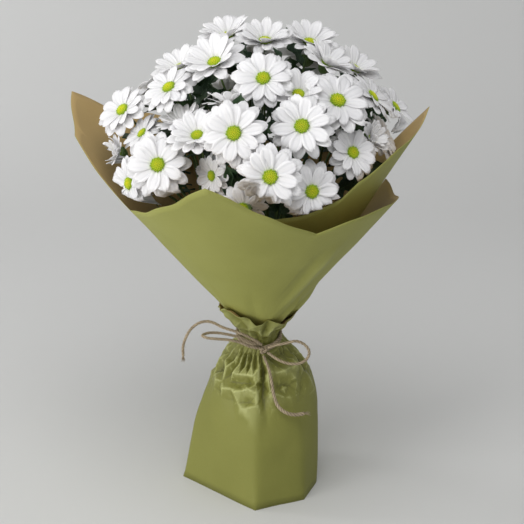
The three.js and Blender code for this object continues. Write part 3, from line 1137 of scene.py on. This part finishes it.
@dataclass
class Bloom:
    """A flower head: two rows of petals, a disc of florets and a green calyx."""

    node: str
    number: int
    palette: Palette
    blade: bpy.types.Mesh
    room: PaperRoom
    disc_share: float = 0.245
    petal_start: float = 0.13
    petal_wall: float = 0.30 * MM
    ring_turn: float = 15.0
    scatter: float = 0.17
    florets: int = 62
    dome: float = 0.42
    calyx_depth: float = 9.0 * MM
    bracts: int = 11

    def __post_init__(self) -> None:
        """Reads the head's pose."""
        self.pose = HeadPose.of(self.node)
        self.opening = Opening.of(self.pose)
        self.dice = Random(1000 + self.number)
        self.turn = basis(self.pose.facing, Vector((0.17, 0.31, 1.0)), self.pose.centre)

    def petal(self, body: bmesh.types.BMesh, row: PetalRow, azimuth: float) -> None:
        """Adds one petal.

        Args:
            body: the mesh it goes to.
            row: its ring.
            azimuth: its direction round the head, in degrees.
        """
        first = len(body.verts)
        body.from_mesh(self.blade)
        body.verts.ensure_lookup_table()
        across, along = body.verts.layers.float["across"], body.verts.layers.float["along"]
        dice, radius = self.dice, self.pose.radius
        start = self.petal_start * radius
        length = (row.reach * dice.uniform(0.93, 1.03) - self.petal_start) * radius
        width = row.width * radius * dice.uniform(0.88, 1.08)
        rise = math.radians(row.rise + dice.uniform(-5.0, 5.0))
        droop = math.radians(row.droop + dice.uniform(-10.0, 12.0))
        twist = math.radians(dice.uniform(-16.0, 16.0))
        bow = dice.uniform(-0.05, 0.05)
        cup = dice.uniform(0.07, 0.15)
        notch = dice.uniform(0.01, 0.045)
        spin = Matrix.Rotation(math.radians(azimuth), 4, "Z")
        for vert in body.verts[first:]:
            s, t = vert[across], vert[along]
            half = width / 2.0 * (0.46 + 0.54 * soft_step(t / 0.58))
            half *= 1.0 - 0.36 * soft_step((t - 0.76) / 0.24)
            groove = 0.5 - 0.5 * math.cos(PETAL_GROOVES * s)
            run = length * (t - 0.10 * abs(s) ** 2.2 * t**3 - notch * groove * t**6)
            angle = rise - droop * t * t / 2.0
            side = s * half
            x = start + run * math.cos(angle)
            y = side + bow * length * t * t
            z = row.lift * radius + run * math.sin(angle) + side * math.sin(twist * t)
            z += width * cup * (s * s - 0.4) * (1.0 - 0.55 * t) - 0.022 * width * groove * (1.0 - 0.4 * t)
            vert.co = self.room.inside(self.turn @ (spin @ Vector((x, y, z))))

    def petals(self) -> None:
        """Makes both rows of petals as one piece."""
        body = bmesh.new()
        body.verts.layers.float.new("across")
        body.verts.layers.float.new("along")
        start = self.dice.uniform(0.0, 360.0)
        for ring, row in enumerate(ROWS[self.opening]):
            for i in range(row.count):
                spot = i + self.dice.uniform(-self.scatter, self.scatter)
                azimuth = start + ring * self.ring_turn + spot * 360.0 / row.count
                self.petal(body, row, azimuth)
        made = piece(f"{self.node}_petals", body, self.palette.petal, (self.node,))
        thicken(made, self.petal_wall)

    def disc(self) -> None:
        """Makes the disc, a low dome packed with florets."""
        body = bmesh.new()
        reach = body.verts.layers.float.new("reach")
        ripe = body.verts.layers.float.new("ripe")
        tip = body.verts.layers.float.new("tip")
        radius = max(self.disc_share * self.pose.radius, 5.0 * MM)
        ripeness = self.dice.uniform(0.55, 1.0)
        made = bmesh.ops.create_uvsphere(body, u_segments=16, v_segments=8, radius=radius * 0.97)["verts"]
        bmesh.ops.scale(body, vec=(1.0, 1.0, self.dome), verts=made)
        for vert in made:
            vert[reach], vert[ripe], vert[tip] = 0.8, ripeness * 0.6, 0.0
        for i in range(self.florets):
            share = math.sqrt((i + 0.5) / self.florets)
            angle = i * math.radians(GOLDEN_ANGLE)
            size = radius * (0.105 + 0.035 * share)
            ball = bmesh.ops.create_icosphere(body, subdivisions=1, radius=size)["verts"]
            high = self.dome * radius * math.sqrt(max(0.0, 1.0 - (0.93 * share) ** 2))
            spot = Vector((math.cos(angle) * share, math.sin(angle) * share, 0.0)) * radius * 0.94
            for vert in ball:
                vert[reach], vert[ripe] = share, ripeness
                vert[tip] = soft_step((vert.co.z / size + 0.9) / 1.4)
            bmesh.ops.scale(body, vec=(1.0, 1.0, 1.5), verts=ball)
            lean = basis(Vector((spot.x * 0.7, spot.y * 0.7, radius * 0.8)), Vector((1.0, 0.1, 0.0)),
                         spot + Vector((0.0, 0.0, high)))
            bmesh.ops.transform(body, matrix=lean, verts=ball)
        lift = Matrix.Translation((0.0, 0.0, 0.065 * self.pose.radius))
        bmesh.ops.transform(body, matrix=self.turn @ lift, verts=body.verts)
        piece(f"{self.node}_disc", body, self.palette.disc)

    def calyx(self) -> None:
        """Makes the green cup under the petals, with a ring of small bracts."""
        body = bmesh.new()
        outline = [(0.0, -1.0), (0.24, -1.0), (0.50, -0.78), (0.74, -0.42), (0.88, 0.0), (0.86, 0.14),
                   (0.0, 0.12)]
        wide = 8.6 * MM if self.opening is Opening.FULL else 7.4 * MM
        chain = [body.verts.new((x * wide, 0.0, z * self.calyx_depth)) for x, z in outline]
        edges = [body.edges.new(pair) for pair in zip(chain, chain[1:])]
        bmesh.ops.spin(body, geom=chain + edges, cent=(0, 0, 0), axis=(0, 0, 1), angle=2.0 * math.pi,
                       steps=16, use_merge=True)
        bmesh.ops.remove_doubles(body, verts=body.verts, dist=WELD)
        for row, (high, out) in enumerate(((-0.62, 0.60), (-0.34, 0.76))):
            for i in range(self.bracts):
                bract = bmesh.ops.create_uvsphere(body, u_segments=6, v_segments=5, radius=2.4 * MM)["verts"]
                bmesh.ops.scale(body, vec=(0.28, 0.72, 1.25), verts=bract)
                azimuth = math.radians((i + row * 0.5) * 360.0 / self.bracts)
                spin = Matrix.Rotation(azimuth, 4, "Z")
                shift = Matrix.Translation((out * wide, 0.0, high * self.calyx_depth))
                lean = Matrix.Rotation(math.radians(34.0), 4, "Y")
                bmesh.ops.transform(body, matrix=spin @ shift @ lean, verts=bract)
        bmesh.ops.recalc_face_normals(body, faces=body.faces)
        bmesh.ops.transform(body, matrix=self.turn, verts=body.verts)
        piece(f"{self.node}_calyx", body, self.palette.calyx)

    def build(self) -> None:
        """Makes the whole head."""
        self.petals()
        self.disc()
        self.calyx()


@dataclass
class LeafShape:
    """Leaves with rounded lobes, all cut from one flat blade."""

    palette: Palette
    room: PaperRoom
    columns: int = 8
    rows: int = 22
    wall: float = 0.35 * MM

    def __post_init__(self) -> None:
        """Makes the flat blade."""
        self.blade = flat_mesh("leaf_blade", self.columns, self.rows)

    def start(self) -> bmesh.types.BMesh:
        """Starts an empty mesh with the numbers that the finish reads.

        Returns:
            The mesh.
        """
        body = bmesh.new()
        body.verts.layers.float.new("across")
        body.verts.layers.float.new("along")
        return body

    def add(self, body: bmesh.types.BMesh, turn: Matrix, length: float, width: float, dice: Random) -> None:
        """Adds a leaf that grows along the frame's X and faces its Z.

        Args:
            body: the mesh it goes to.
            turn: its frame.
            length: from stalk to tip.
            width: across its widest lobes.
            dice: its random numbers.
        """
        first = len(body.verts)
        body.from_mesh(self.blade)
        body.verts.ensure_lookup_table()
        across, along = body.verts.layers.float["across"], body.verts.layers.float["along"]
        bend, cup = dice.uniform(0.1, 0.45), dice.uniform(0.05, 0.3)
        ripple, phase = dice.uniform(0.02, 0.05), dice.uniform(0.0, 6.28)
        for vert in body.verts[first:]:
            s, t = vert[across], vert[along]
            lobe = 0.66 + 0.34 * math.cos(2.0 * math.pi * (3.0 * t + 0.18 * abs(s)) + 2.6)
            envelope = math.sin(math.pi * min(1.0, max(0.0, (t - 0.14) / 0.86)) ** 0.78) ** 0.7
            stalk = 0.045 + 0.03 * (1.0 - t)
            half = width / 2.0 * max(stalk, envelope * lobe)
            x = length * (t + 0.05 * abs(s) * envelope)
            z = length * (-bend * t * t / 2.0 + ripple * math.sin(9.0 * t + phase) * abs(s))
            z += half * cup * abs(s)
            vert.co = self.room.inside(turn @ Vector((x * (1.0 - bend * 0.2 * t), s * half, z)))

    def finish(self, name: str, body: bmesh.types.BMesh, stands_for: Sequence[str] = ()) -> None:
        """Turns leaves into a piece."""
        thicken(piece(name, body, self.palette.leaf, stands_for), self.wall)


@dataclass
class Foliage:
    """The stems, the CAD leaves, and the small leaves under the heads."""

    palette: Palette
    heads: list[HeadPose]
    room: PaperRoom
    seed: int = 5
    dome: Vector = field(default_factory=lambda: Vector((0.003, 0.0, 0.315)))
    fillers: int = 110
    behind: float = 0.22
    beside: float = 1.12
    leaves_per_head: int = 5
    large_width: float = 42.0 * MM

    def stems(self) -> None:
        """Rounds every CAD stem with its branches."""
        for node in sorted(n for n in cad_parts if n.startswith("stem_") and n != "stem_tie"):
            rounded(piece(f"{node}_round", welded(node), self.palette.stalk, (node,)), 1)

    def large_leaves(self, shape: LeafShape) -> None:
        """Shapes a lobed leaf in the place of each CAD leaf.

        Args:
            shape: what makes the leaves.
        """
        for node in sorted(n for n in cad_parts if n.startswith("leaf_")):
            places = corners(node)
            middle = places.mean(axis=0)
            axes = np.linalg.svd(places - middle)[2]
            grow, face = Vector(axes[0]), Vector(axes[2])
            grow = grow if grow.z > 0 else -grow
            reach = (places - middle) @ np.array(grow)
            start = Vector(middle) + grow * float(reach.min())
            length = float(reach.max() - reach.min())
            face = face if face.z > 0 else -face
            body = shape.start()
            shape.add(body, basis(face, grow, start), length, self.large_width, Random(node))
            shape.finish(f"{node}_lobed", body, (node,))

    def hides_a_head(self, point: Vector) -> bool:
        """Whether a place is in front of a head's petals or among them.

        Args:
            point: the place.

        Returns:
            True if a leaf there would hide a head.
        """
        for pose in self.heads:
            away = point - pose.centre
            ahead = away.dot(pose.facing)
            aside = (away - pose.facing * ahead).length
            if ahead > -self.behind * pose.radius and aside < self.beside * pose.radius:
                return True
        return False

    def small_leaves(self, shape: LeafShape) -> None:
        """Sets small leaves on the branches, under the heads, and fills the dome between them.

        Args:
            shape: what makes the leaves.
        """
        dice = Random(self.seed)
        body = shape.start()
        shots = []
        for pose in self.heads:
            turn = pose.facing.to_track_quat("Z", "Y")
            for _ in range(self.leaves_per_head):
                lean = turn @ polar(dice.uniform(0.0, 360.0), dice.uniform(25.0, 66.0))
                start = pose.centre - pose.facing * dice.uniform(24.0, 46.0) * MM
                shots.append((start, lean, pose.facing, dice.uniform(34.0, 54.0) * MM))
        for i in range(self.fillers):
            fall = math.degrees(math.acos(1.0 - 0.92 * (i + 0.5) / self.fillers))
            out = polar(i * GOLDEN_ANGLE, fall)
            start = self.dome + out * dice.uniform(72.0, 92.0) * MM
            lean = (out + polar(dice.uniform(0.0, 360.0), 90.0) * dice.uniform(0.2, 1.0)).normalized()
            shots.append((start, lean, out + Vector((0.0, -0.3, 0.4)), dice.uniform(38.0, 56.0) * MM))
        for start, lean, face, length in shots:
            if any(self.hides_a_head(start + lean * length * share) for share in (0.35, 0.7, 0.95)):
                continue
            flat = (face - lean * face.dot(lean)).normalized()
            shape.add(body, basis(flat, lean, start), length, length * dice.uniform(0.42, 0.58), dice)
        shape.finish("small_leaves", body)

    def build(self) -> None:
        """Makes everything green."""
        shape = LeafShape(self.palette, self.room)
        self.stems()
        self.large_leaves(shape)
        self.small_leaves(shape)


# --------------------------------------------------------------------------------------------------
# Paper


@dataclass(frozen=True)
class Crease:
    """A straight fold in a sheet: a ridge if depth is positive, a valley if it is negative.

    azimuth is in degrees and height is above the neck. slant is its angle from upright, in degrees.
    reach is half its length, spread half its width.
    """

    azimuth: float
    height: float
    slant: float
    reach: float
    spread: float
    depth: float

    def push(self, azimuth: np.ndarray, height: np.ndarray, radius: np.ndarray) -> np.ndarray:
        """How far it moves each place of a sheet outwards.

        Args:
            azimuth: the places' azimuths in degrees.
            height: their heights above the neck.
            radius: how far they are from the axis.

        Returns:
            One length for each place.
        """
        turn = math.radians(self.slant)
        arc = np.radians((azimuth - self.azimuth + 180.0) % 360.0 - 180.0) * radius
        up = height - self.height
        along = arc * math.sin(turn) + up * math.cos(turn)
        across = arc * math.cos(turn) - up * math.sin(turn)
        tent = np.clip(1.0 - np.abs(across) / self.spread, 0.0, 1.0)
        return self.depth * tent * soft_steps(1.4 * (1.0 - np.abs(along) / self.reach))


@dataclass
class Facets:
    """Crumpled paper as flat facets between scattered points that are pushed in or out.

    Each point is an azimuth in degrees, a height above the neck and a push, both in metres. stretch is the
    radius at which azimuths are laid flat: the larger it is, the more upright the facets are. overlap is how
    far past a whole turn the points are repeated. Closer to the axis than full_radius, the pushes fade out.
    """

    points: list[tuple[float, float, float]]
    stretch: float = 0.062
    overlap: float = 70.0
    full_radius: float = 0.02

    def __post_init__(self) -> None:
        """Joins the points into facets, all round the sheet."""
        flat, pushes = [], []
        for azimuth, height, push in self.points:
            for turned in (azimuth % 360.0 - 360.0, azimuth % 360.0, azimuth % 360.0 + 360.0):
                if -self.overlap < turned < 360.0 + self.overlap:
                    flat.append(Vector((math.radians(turned) * self.stretch, height)))
                    pushes.append(push)
        places, _, faces, sources, _, _ = delaunay_2d_cdt(flat, [], [], 0, 1e-7)
        peaks = [Vector((p.x, p.y, pushes[source[0]])) for p, source in zip(places, sources)]
        self.tree = BVHTree.FromPolygons(peaks, faces)

    def push(self, azimuth: np.ndarray, height: np.ndarray, radius: np.ndarray) -> np.ndarray:
        """How far the facets move each place of a sheet outwards.

        Args:
            azimuth: the places' azimuths in degrees.
            height: their heights above the neck.
            radius: how far they are from the axis.

        Returns:
            One length for each place.
        """
        made = np.zeros(len(azimuth))
        down = Vector((0.0, 0.0, -1.0))
        for i, (x, y) in enumerate(zip(np.radians(azimuth) * self.stretch, height)):
            hit = self.tree.ray_cast(Vector((x, y, 1.0)), down)[0]
            made[i] = hit.z if hit else 0.0
        return made * np.clip(radius / self.full_radius, 0.0, 1.0)


@dataclass
class PaperSheet:
    """A sheet of paper on the surface of its CAD node, two-sided and creased.

    calm is the height of its soft waves. Between crumple_low and crumple_high, heights from the neck, it
    looks crumpled. From cut_from of the neck's height upwards its upright edges take cuts more vertices. CAD
    faces with an edge under rim_edge are the rim, which is left out. A point where the rim's edges meet at
    less than corner degrees stays sharp. Within tied of the neck it can move by tied_play only, above the
    neck inwards by collar_play at most, and elsewhere by free_play. sharp_fold and full_fold are the moves
    that count as a full ridge and as a full fold.
    """

    node: str
    palette: Palette
    flat: tuple[float, float]
    flat_area: float
    rests_on: tuple[str, ...]
    creases: list[Union[Crease, Facets]]
    finish: bpy.types.Material
    calm: float = 0.0012
    crumple_low: float = -0.072
    crumple_high: float = 0.045
    levels: int = 3
    cuts: int = 0
    cut_from: float = 0.637
    wall: float = 0.45 * MM
    rim_edge: float = 1.2 * MM
    corner: float = 152.0
    tied: float = 0.0075
    tied_play: float = 0.0007
    collar_play: float = 0.0010
    sharp_fold: float = 0.00022
    full_fold: float = 0.0045
    free_play: float = 0.02

    def outer_side(self) -> bmesh.types.BMesh:
        """Takes the outer side of the CAD sheet as a grid of quads.

        Returns:
            The grid, whose sharp corners keep their points when it is subdivided.
        """
        body = welded(self.node)
        bmesh.ops.join_triangles(body, faces=body.faces, angle_face_threshold=1.0, angle_shape_threshold=1.5)
        body.normal_update()

        def kept(face: bmesh.types.BMFace) -> bool:
            """Whether a face is on the outer side and no part of the rim.

            Args:
                face: a face of the CAD sheet.

            Returns:
                True if it stays.
            """
            middle = face.calc_center_median()
            outwards = face.normal.x * middle.x + face.normal.y * middle.y > 0.0
            return outwards and min(e.calc_length() for e in face.edges) > self.rim_edge

        bmesh.ops.delete(body, geom=[f for f in body.faces if not kept(f)], context="FACES")
        sharp = body.verts.layers.float.new("crease_vert")
        for vert in body.verts:
            rims = [e.other_vert(vert).co - vert.co for e in vert.link_edges if e.is_boundary]
            if len(rims) == 2 and rims[0].angle(rims[1]) < math.radians(self.corner):
                vert[sharp] = 1.0
        return body

    def fine_mesh(self) -> bpy.types.Mesh:
        """Subdivides the outer side into small smooth faces.

        Returns:
            The fine mesh.
        """
        rough = bpy.data.meshes.new("rough")
        body = self.outer_side()
        body.to_mesh(rough)
        body.free()
        holder = bpy.data.objects.new("rough", rough)
        bpy.context.scene.collection.objects.link(holder)
        rounded(holder, self.levels)
        shown = holder.evaluated_get(bpy.context.evaluated_depsgraph_get())
        fine = bpy.data.meshes.new_from_object(shown)
        bpy.data.objects.remove(holder)
        bpy.data.meshes.remove(rough)
        if self.cuts:
            self.refine(fine)
        return fine

    def refine(self, fine: bpy.types.Mesh) -> None:
        """Adds rows of vertices from a share of the neck's height upwards, where the sheet is crumpled.

        Args:
            fine: the smooth sheet, which is changed.
        """
        body = bmesh.new()
        body.from_mesh(fine)
        upright = []
        for edge in body.edges:
            a, b = (v.co for v in edge.verts)
            turn = abs(math.atan2(a.x * b.y - a.y * b.x, a.x * b.x + a.y * b.y))
            share = min(a.z, b.z) / (NECK_Z + NECK_DIP * a.y / a.xy.length)
            if share > self.cut_from and turn * a.xy.length < 0.35 * (a - b).length:
                upright.append(edge)
        bmesh.ops.subdivide_edges(body, edges=upright, cuts=self.cuts, use_grid_fill=True)
        body.to_mesh(fine)
        body.free()

    def shape(self, fine: bpy.types.Mesh) -> None:
        """Moves the sheet's vertices for its creases and soft waves.

        Args:
            fine: the smooth sheet, which is changed.
        """
        count = len(fine.vertices)
        places, normals = np.empty(count * 3), np.empty(count * 3)
        fine.vertices.foreach_get("co", places)
        fine.vertex_normals.foreach_get("vector", normals)
        places, normals = places.reshape(-1, 3), normals.reshape(-1, 3)
        azimuth = np.degrees(np.arctan2(places[:, 1], places[:, 0])) % 360.0
        radius = np.hypot(places[:, 0], places[:, 1])
        height = places[:, 2] - NECK_Z - NECK_DIP * np.sin(np.radians(azimuth))
        push = sum(c.push(azimuth, height, radius) for c in self.creases)
        free = soft_steps((np.abs(height) - self.tied) / 0.012)
        limit = self.tied_play + (self.free_play - self.tied_play) * free
        inward = np.where(height > 0.0, np.minimum(limit, self.collar_play), limit)
        waves = np.array([noise.noise(Vector(p) * 14.0) + 0.5 * noise.noise(Vector(p) * 31.0)
                          for p in places])
        push = np.clip(push, -inward, limit)
        moved = places + normals * (push + self.calm * waves * free)[:, None]
        moved[:, 2] = np.maximum(moved[:, 2], 0.0)
        fine.vertices.foreach_set("co", moved.ravel())
        near = soft_steps((height - self.crumple_low) / 0.03)
        near = near * soft_steps((self.crumple_high - height) / 0.02)
        # fold and ridge feed the paper finish's painted highlight on ridges and painted shade in valleys.
        traits = {"crumple": near * 0.9 + 0.1, "fold": np.clip(push / self.full_fold, -1.0, 1.0),
                  "ridge": self.ridges(fine, push) * near}
        for name, values in traits.items():
            fine.attributes.new(name, "FLOAT", "POINT").data.foreach_set("value", values)

    def ridges(self, fine: bpy.types.Mesh, push: np.ndarray) -> np.ndarray:
        """How sharply the sheet is folded at each vertex.

        Args:
            fine: the sheet.
            push: how far each of its vertices was moved.

        Returns:
            One number for each vertex, from -1 in a valley to 1 on a ridge.
        """
        pairs = np.empty(len(fine.edges) * 2, dtype=np.int64)
        fine.edges.foreach_get("vertices", pairs)
        pairs = pairs.reshape(-1, 2)
        total, count = np.zeros(len(push)), np.zeros(len(push))
        for here, there in ((0, 1), (1, 0)):
            np.add.at(total, pairs[:, here], push[pairs[:, there]])
            np.add.at(count, pairs[:, here], 1.0)
        return np.clip((push - total / np.maximum(count, 1.0)) / self.sharp_fold, -1.0, 1.0)

    def build(self) -> bpy.types.Object:
        """Makes the sheet.

        Returns:
            The new object.
        """
        fine = self.fine_mesh()
        self.shape(fine)
        body = bmesh.new()
        body.from_mesh(fine)
        bpy.data.meshes.remove(fine)
        made = piece(f"{self.node}_sheet", body, self.finish, (self.node,))
        made.data.materials.append(self.palette.kraft_paper)
        thicken(made, self.wall, 1)
        return made


# The folds of the foot that face the front, as azimuth, height above the neck and push, both in millimetres.
FRONT_FOLDS = (
    (216, -10, 1.0), (224, -11, -2.0), (231, -10, 2.5), (238, -11, -2.5), (244, -10, 2.5),
    (250, -10, -2.5), (256, -9, 2.5), (262, -10, -2.5), (268, -10, 3.0), (276, -11, -3.0),
    (284, -11, 2.5), (218, -19, 3.0), (227, -19, -3.0), (234, -18, 3.5), (240, -19, -3.5),
    (246, -19, 3.5), (251, -18, -3.5), (257, -18, 4.0), (263, -18, -2.0), (270, -20, 4.0),
    (277, -22, -6.5), (285, -20, 4.5), (212, -27, 3.5), (222, -28, -4.5), (230, -28, 5.0),
    (240, -27, 5.5), (252, -26, 5.5), (262, -26, 5.5), (270, -28, 5.0), (276, -31, -7.5), (283, -28, 4.0),
    (226, -36, -1.0), (236, -34, -3.0), (247, -33, -3.5), (258, -32, -3.5), (266, -32, 2.0),
    (274, -41, -4.0), (213, -40, 0.5), (221, -44, 3.5), (233, -41, 3.0), (239, -42, 5.0),
    (249, -39.5, 5.0), (258, -37, 5.5), (268, -40, 4.5), (284, -40, 1.5), (219, -54, 0.0),
    (238, -50, -1.5), (246, -50, 2.5), (254, -55, 5.5), (260, -48, -0.5), (268, -50, 4.0),
    (276, -52, -1.5), (284, -56, 1.0), (230, -62, 0.0), (245, -64, -0.5), (255, -66, 0.0),
    (266, -70, 2.5), (278, -66, -0.5), (214, 14, 2.0), (222, 46, 5.5), (230, 37, 6.0), (238, 27, 5.0),
    (246, 17, 2.0), (236, 46, 1.0), (245, 36, 0.0), (252, 25, 4.5), (259, 33, 6.0), (264, 20, 0.5),
    (270, 29, 5.0), (276, 14, 3.0), (281, 27, 0.0), (287, 17, 4.0), (293, 31, 6.0), (301, 20, 1.0),
    (309, 27, 4.5), (222, 28, 0.0), (229, 18, 3.5), (238, 13, 0.5), (256, 13, 3.5), (212, 36, 1.0),
    (268, 12, 0.5), (284, 11, 1.0), (212, 24, 4.0), (301, 11, 2.5), (251, 44, 4.5), (308, 14, 0.0),
    (188, -12, 0.0), (188, -22, -1.0), (188, -29, -3.0), (188, -36, -5.0), (189, -42, 1.5),
    (198, -14, 2.0), (200, -24, 4.0), (200, -34, -2.5), (201, -43, 2.0), (208, -12, -1.5),
    (209, -20, -3.0), (294, -12, -2.5), (306, -13, -4.0), (318, -13, -4.0), (330, -13, -3.5),
    (342, -14, -3.0), (294, -24, 3.0), (304, -25, 4.5), (316, -25, 5.0), (328, -26, 4.5), (340, -26, 4.0),
    (297, -35, -1.5), (309, -35, -2.0), (322, -37, 0.5), (334, -38, -1.0), (345, -36, 1.0),
)


@dataclass
class Wrapping:
    """The inner and outer sheets of the cone, and the gathered foot with its collar."""

    palette: Palette
    seed: int = 21

    def pleats(self, dice: Random, count: int, low: float, high: float, depth: float,
               spread: float) -> list[Crease]:
        """Upright folds that fan out of the neck.

        Args:
            dice: the random numbers.
            count: how many there are.
            low: the lowest end of the longest one.
            high: the highest end.
            depth: how deep they are.
            spread: their half width.

        Returns:
            The folds.
        """
        made = []
        for i in range(count):
            azimuth = (i + dice.uniform(-0.35, 0.35)) * 360.0 / count
            top, bottom = high * dice.uniform(0.6, 1.0), low * dice.uniform(0.45, 1.0)
            sign = 1.0 if i % 2 else -1.0
            made.append(Crease(azimuth, (top + bottom) / 2.0, dice.uniform(-9.0, 9.0), (top - bottom) / 2.0,
                               spread * dice.uniform(0.6, 1.3), sign * depth * dice.uniform(0.5, 1.0)))
        return made

    def crumples(self, dice: Random) -> Facets:
        """The facets of the foot and its collar: tight gathers at the neck, larger and calmer further away.

        Args:
            dice: the random numbers.

        Returns:
            The facets.
        """
        # Each row has its height above the neck, its spacing in degrees, and its pushes out and in.
        rows = (
            (66, 20, 5.0, 0.5), (54, 18, 5.5, 0.5), (42, 15, 5.5, 0.5), (31, 12.5, 5.0, 0.8),
            (21, 10, 4.0, 1.0), (12, 8, 2.0, 1.0), (0, 12, 0.2, 0.2), (-11, 8, 2.5, 2.5),
            (-19, 9, 4.0, 3.5), (-28, 11, 4.5, 3.5), (-38, 14, 3.5, 2.5), (-49, 18, 2.8, 1.5),
            (-63, 24, 1.6, 1.0), (-82, 30, 1.0, 0.8), (-108, 36, 0.7, 0.6), (-138, 45, 0.5, 0.4),
            (-175, 45, 0.0, 0.0), (90, 30, 0.0, 0.0),
        )
        points = [(azimuth, height * MM, push * MM) for azimuth, height, push in FRONT_FOLDS]
        for height, step, out, back in rows:
            count = round(360.0 / step)
            for i in range(count):
                azimuth = (i + dice.uniform(-0.28, 0.28)) * 360.0 / count
                up = height + dice.uniform(-0.16, 0.16) * step
                push = out if i % 2 else -back
                if dice.random() < 0.25 and abs(height) > 15:
                    push = dice.uniform(-back, out)
                if not self.designed(azimuth, up):
                    points.append((azimuth, up * MM, push * dice.uniform(0.55, 1.0) * MM))
        return Facets(points)

    @staticmethod
    def designed(azimuth: float, height: float) -> bool:
        """Whether a place belongs to the folds that are set one by one.

        Args:
            azimuth: the place's azimuth in degrees.
            height: its height above the neck in millimetres.

        Returns:
            True if no random fold goes there.
        """
        below = 182.0 < azimuth < 348.0 and -46.0 < height < -6.0
        collar = 208.0 < azimuth < 312.0 and 8.0 < height < 48.0
        return below or collar or (212.0 < azimuth < 284.0 and -74.0 < height < -6.0)

    def crinkles(self, dice: Random) -> Facets:
        """Small sharp facets all over the gathers.

        Args:
            dice: the random numbers.

        Returns:
            The facets.
        """
        rows, columns, lowest, row_height = 21, 44, -60.0, 5.6
        points = []
        for row in range(rows):
            height = lowest + row_height * row
            fade = soft_step((height + 62.0) / 26.0)
            for i in range(columns):
                azimuth = (i + dice.uniform(-0.4, 0.4)) * 360.0 / columns
                push = dice.uniform(-1.7, 1.7) * fade
                points.append((azimuth, (height + dice.uniform(-2.2, 2.2)) * MM, push * MM))
        points += [(i * 30.0, z * MM, 0.0) for i in range(12) for z in (-70.0, -175.0, 90.0)]
        return Facets(points, 0.040)

    def build(self) -> None:
        """Makes the three sheets."""
        # foot is the darker copy of the green paper, painted shade for the foot.
        dice, cone, foot = Random(self.seed), self.palette.green_paper, self.palette.foot_shaded_paper
        inner = self.pleats(dice, 10, -0.02, 0.10, 0.0010, 0.008)
        PaperSheet("paper_wrap_inner", self.palette, (0.52, 0.33), 0.073, ("stem_1_round",), inner,
                   cone).build()
        outer = self.pleats(dice, 14, -0.02, 0.095, 0.0016, 0.009)
        outer += [Crease(303.0, 0.088, 16.0, 0.062, 0.014, 0.0040),
                  Crease(296.0, 0.080, 14.0, 0.055, 0.010, -0.002),
                  Crease(312.0, 0.040, 10.0, 0.026, 0.007, 0.0040),
                  Crease(326.0, 0.036, -12.0, 0.022, 0.006, -0.003),
                  Crease(338.0, 0.042, 8.0, 0.026, 0.007, 0.0035)]
        PaperSheet("paper_wrap_outer", self.palette, (0.54, 0.33), 0.090, ("paper_wrap_inner_sheet",), outer,
                   cone).build()
        PaperSheet("paper_skirt", self.palette, (0.45, 0.21), 0.070, ("paper_wrap_outer_sheet",),
                   [self.crumples(dice), self.crinkles(dice)], foot, levels=2, cuts=3).build()


# --------------------------------------------------------------------------------------------------
# Scene


def main() -> None:
    """Builds the camera, the twine, the flowers, the leaves, the paper and the studio."""
    logging.basicConfig(level=logging.INFO, format="%(name)s %(message)s")
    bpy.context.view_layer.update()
    Viewpoint().build()
    palette = Palette()
    Bow(palette).build()
    blade = flat_mesh("petal_blade", 6, 7)
    room = PaperRoom()
    heads = []
    nodes = sorted(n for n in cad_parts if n.startswith("bloom_"))
    for number, node in enumerate(nodes, 1):
        bloom = Bloom(node, number, palette, blade, room)
        bloom.build()
        heads.append(bloom.pose)
    Foliage(palette, heads, room).build()
    Wrapping(palette).build()
    Studio().build()


if __name__ == "__main__":
    main()
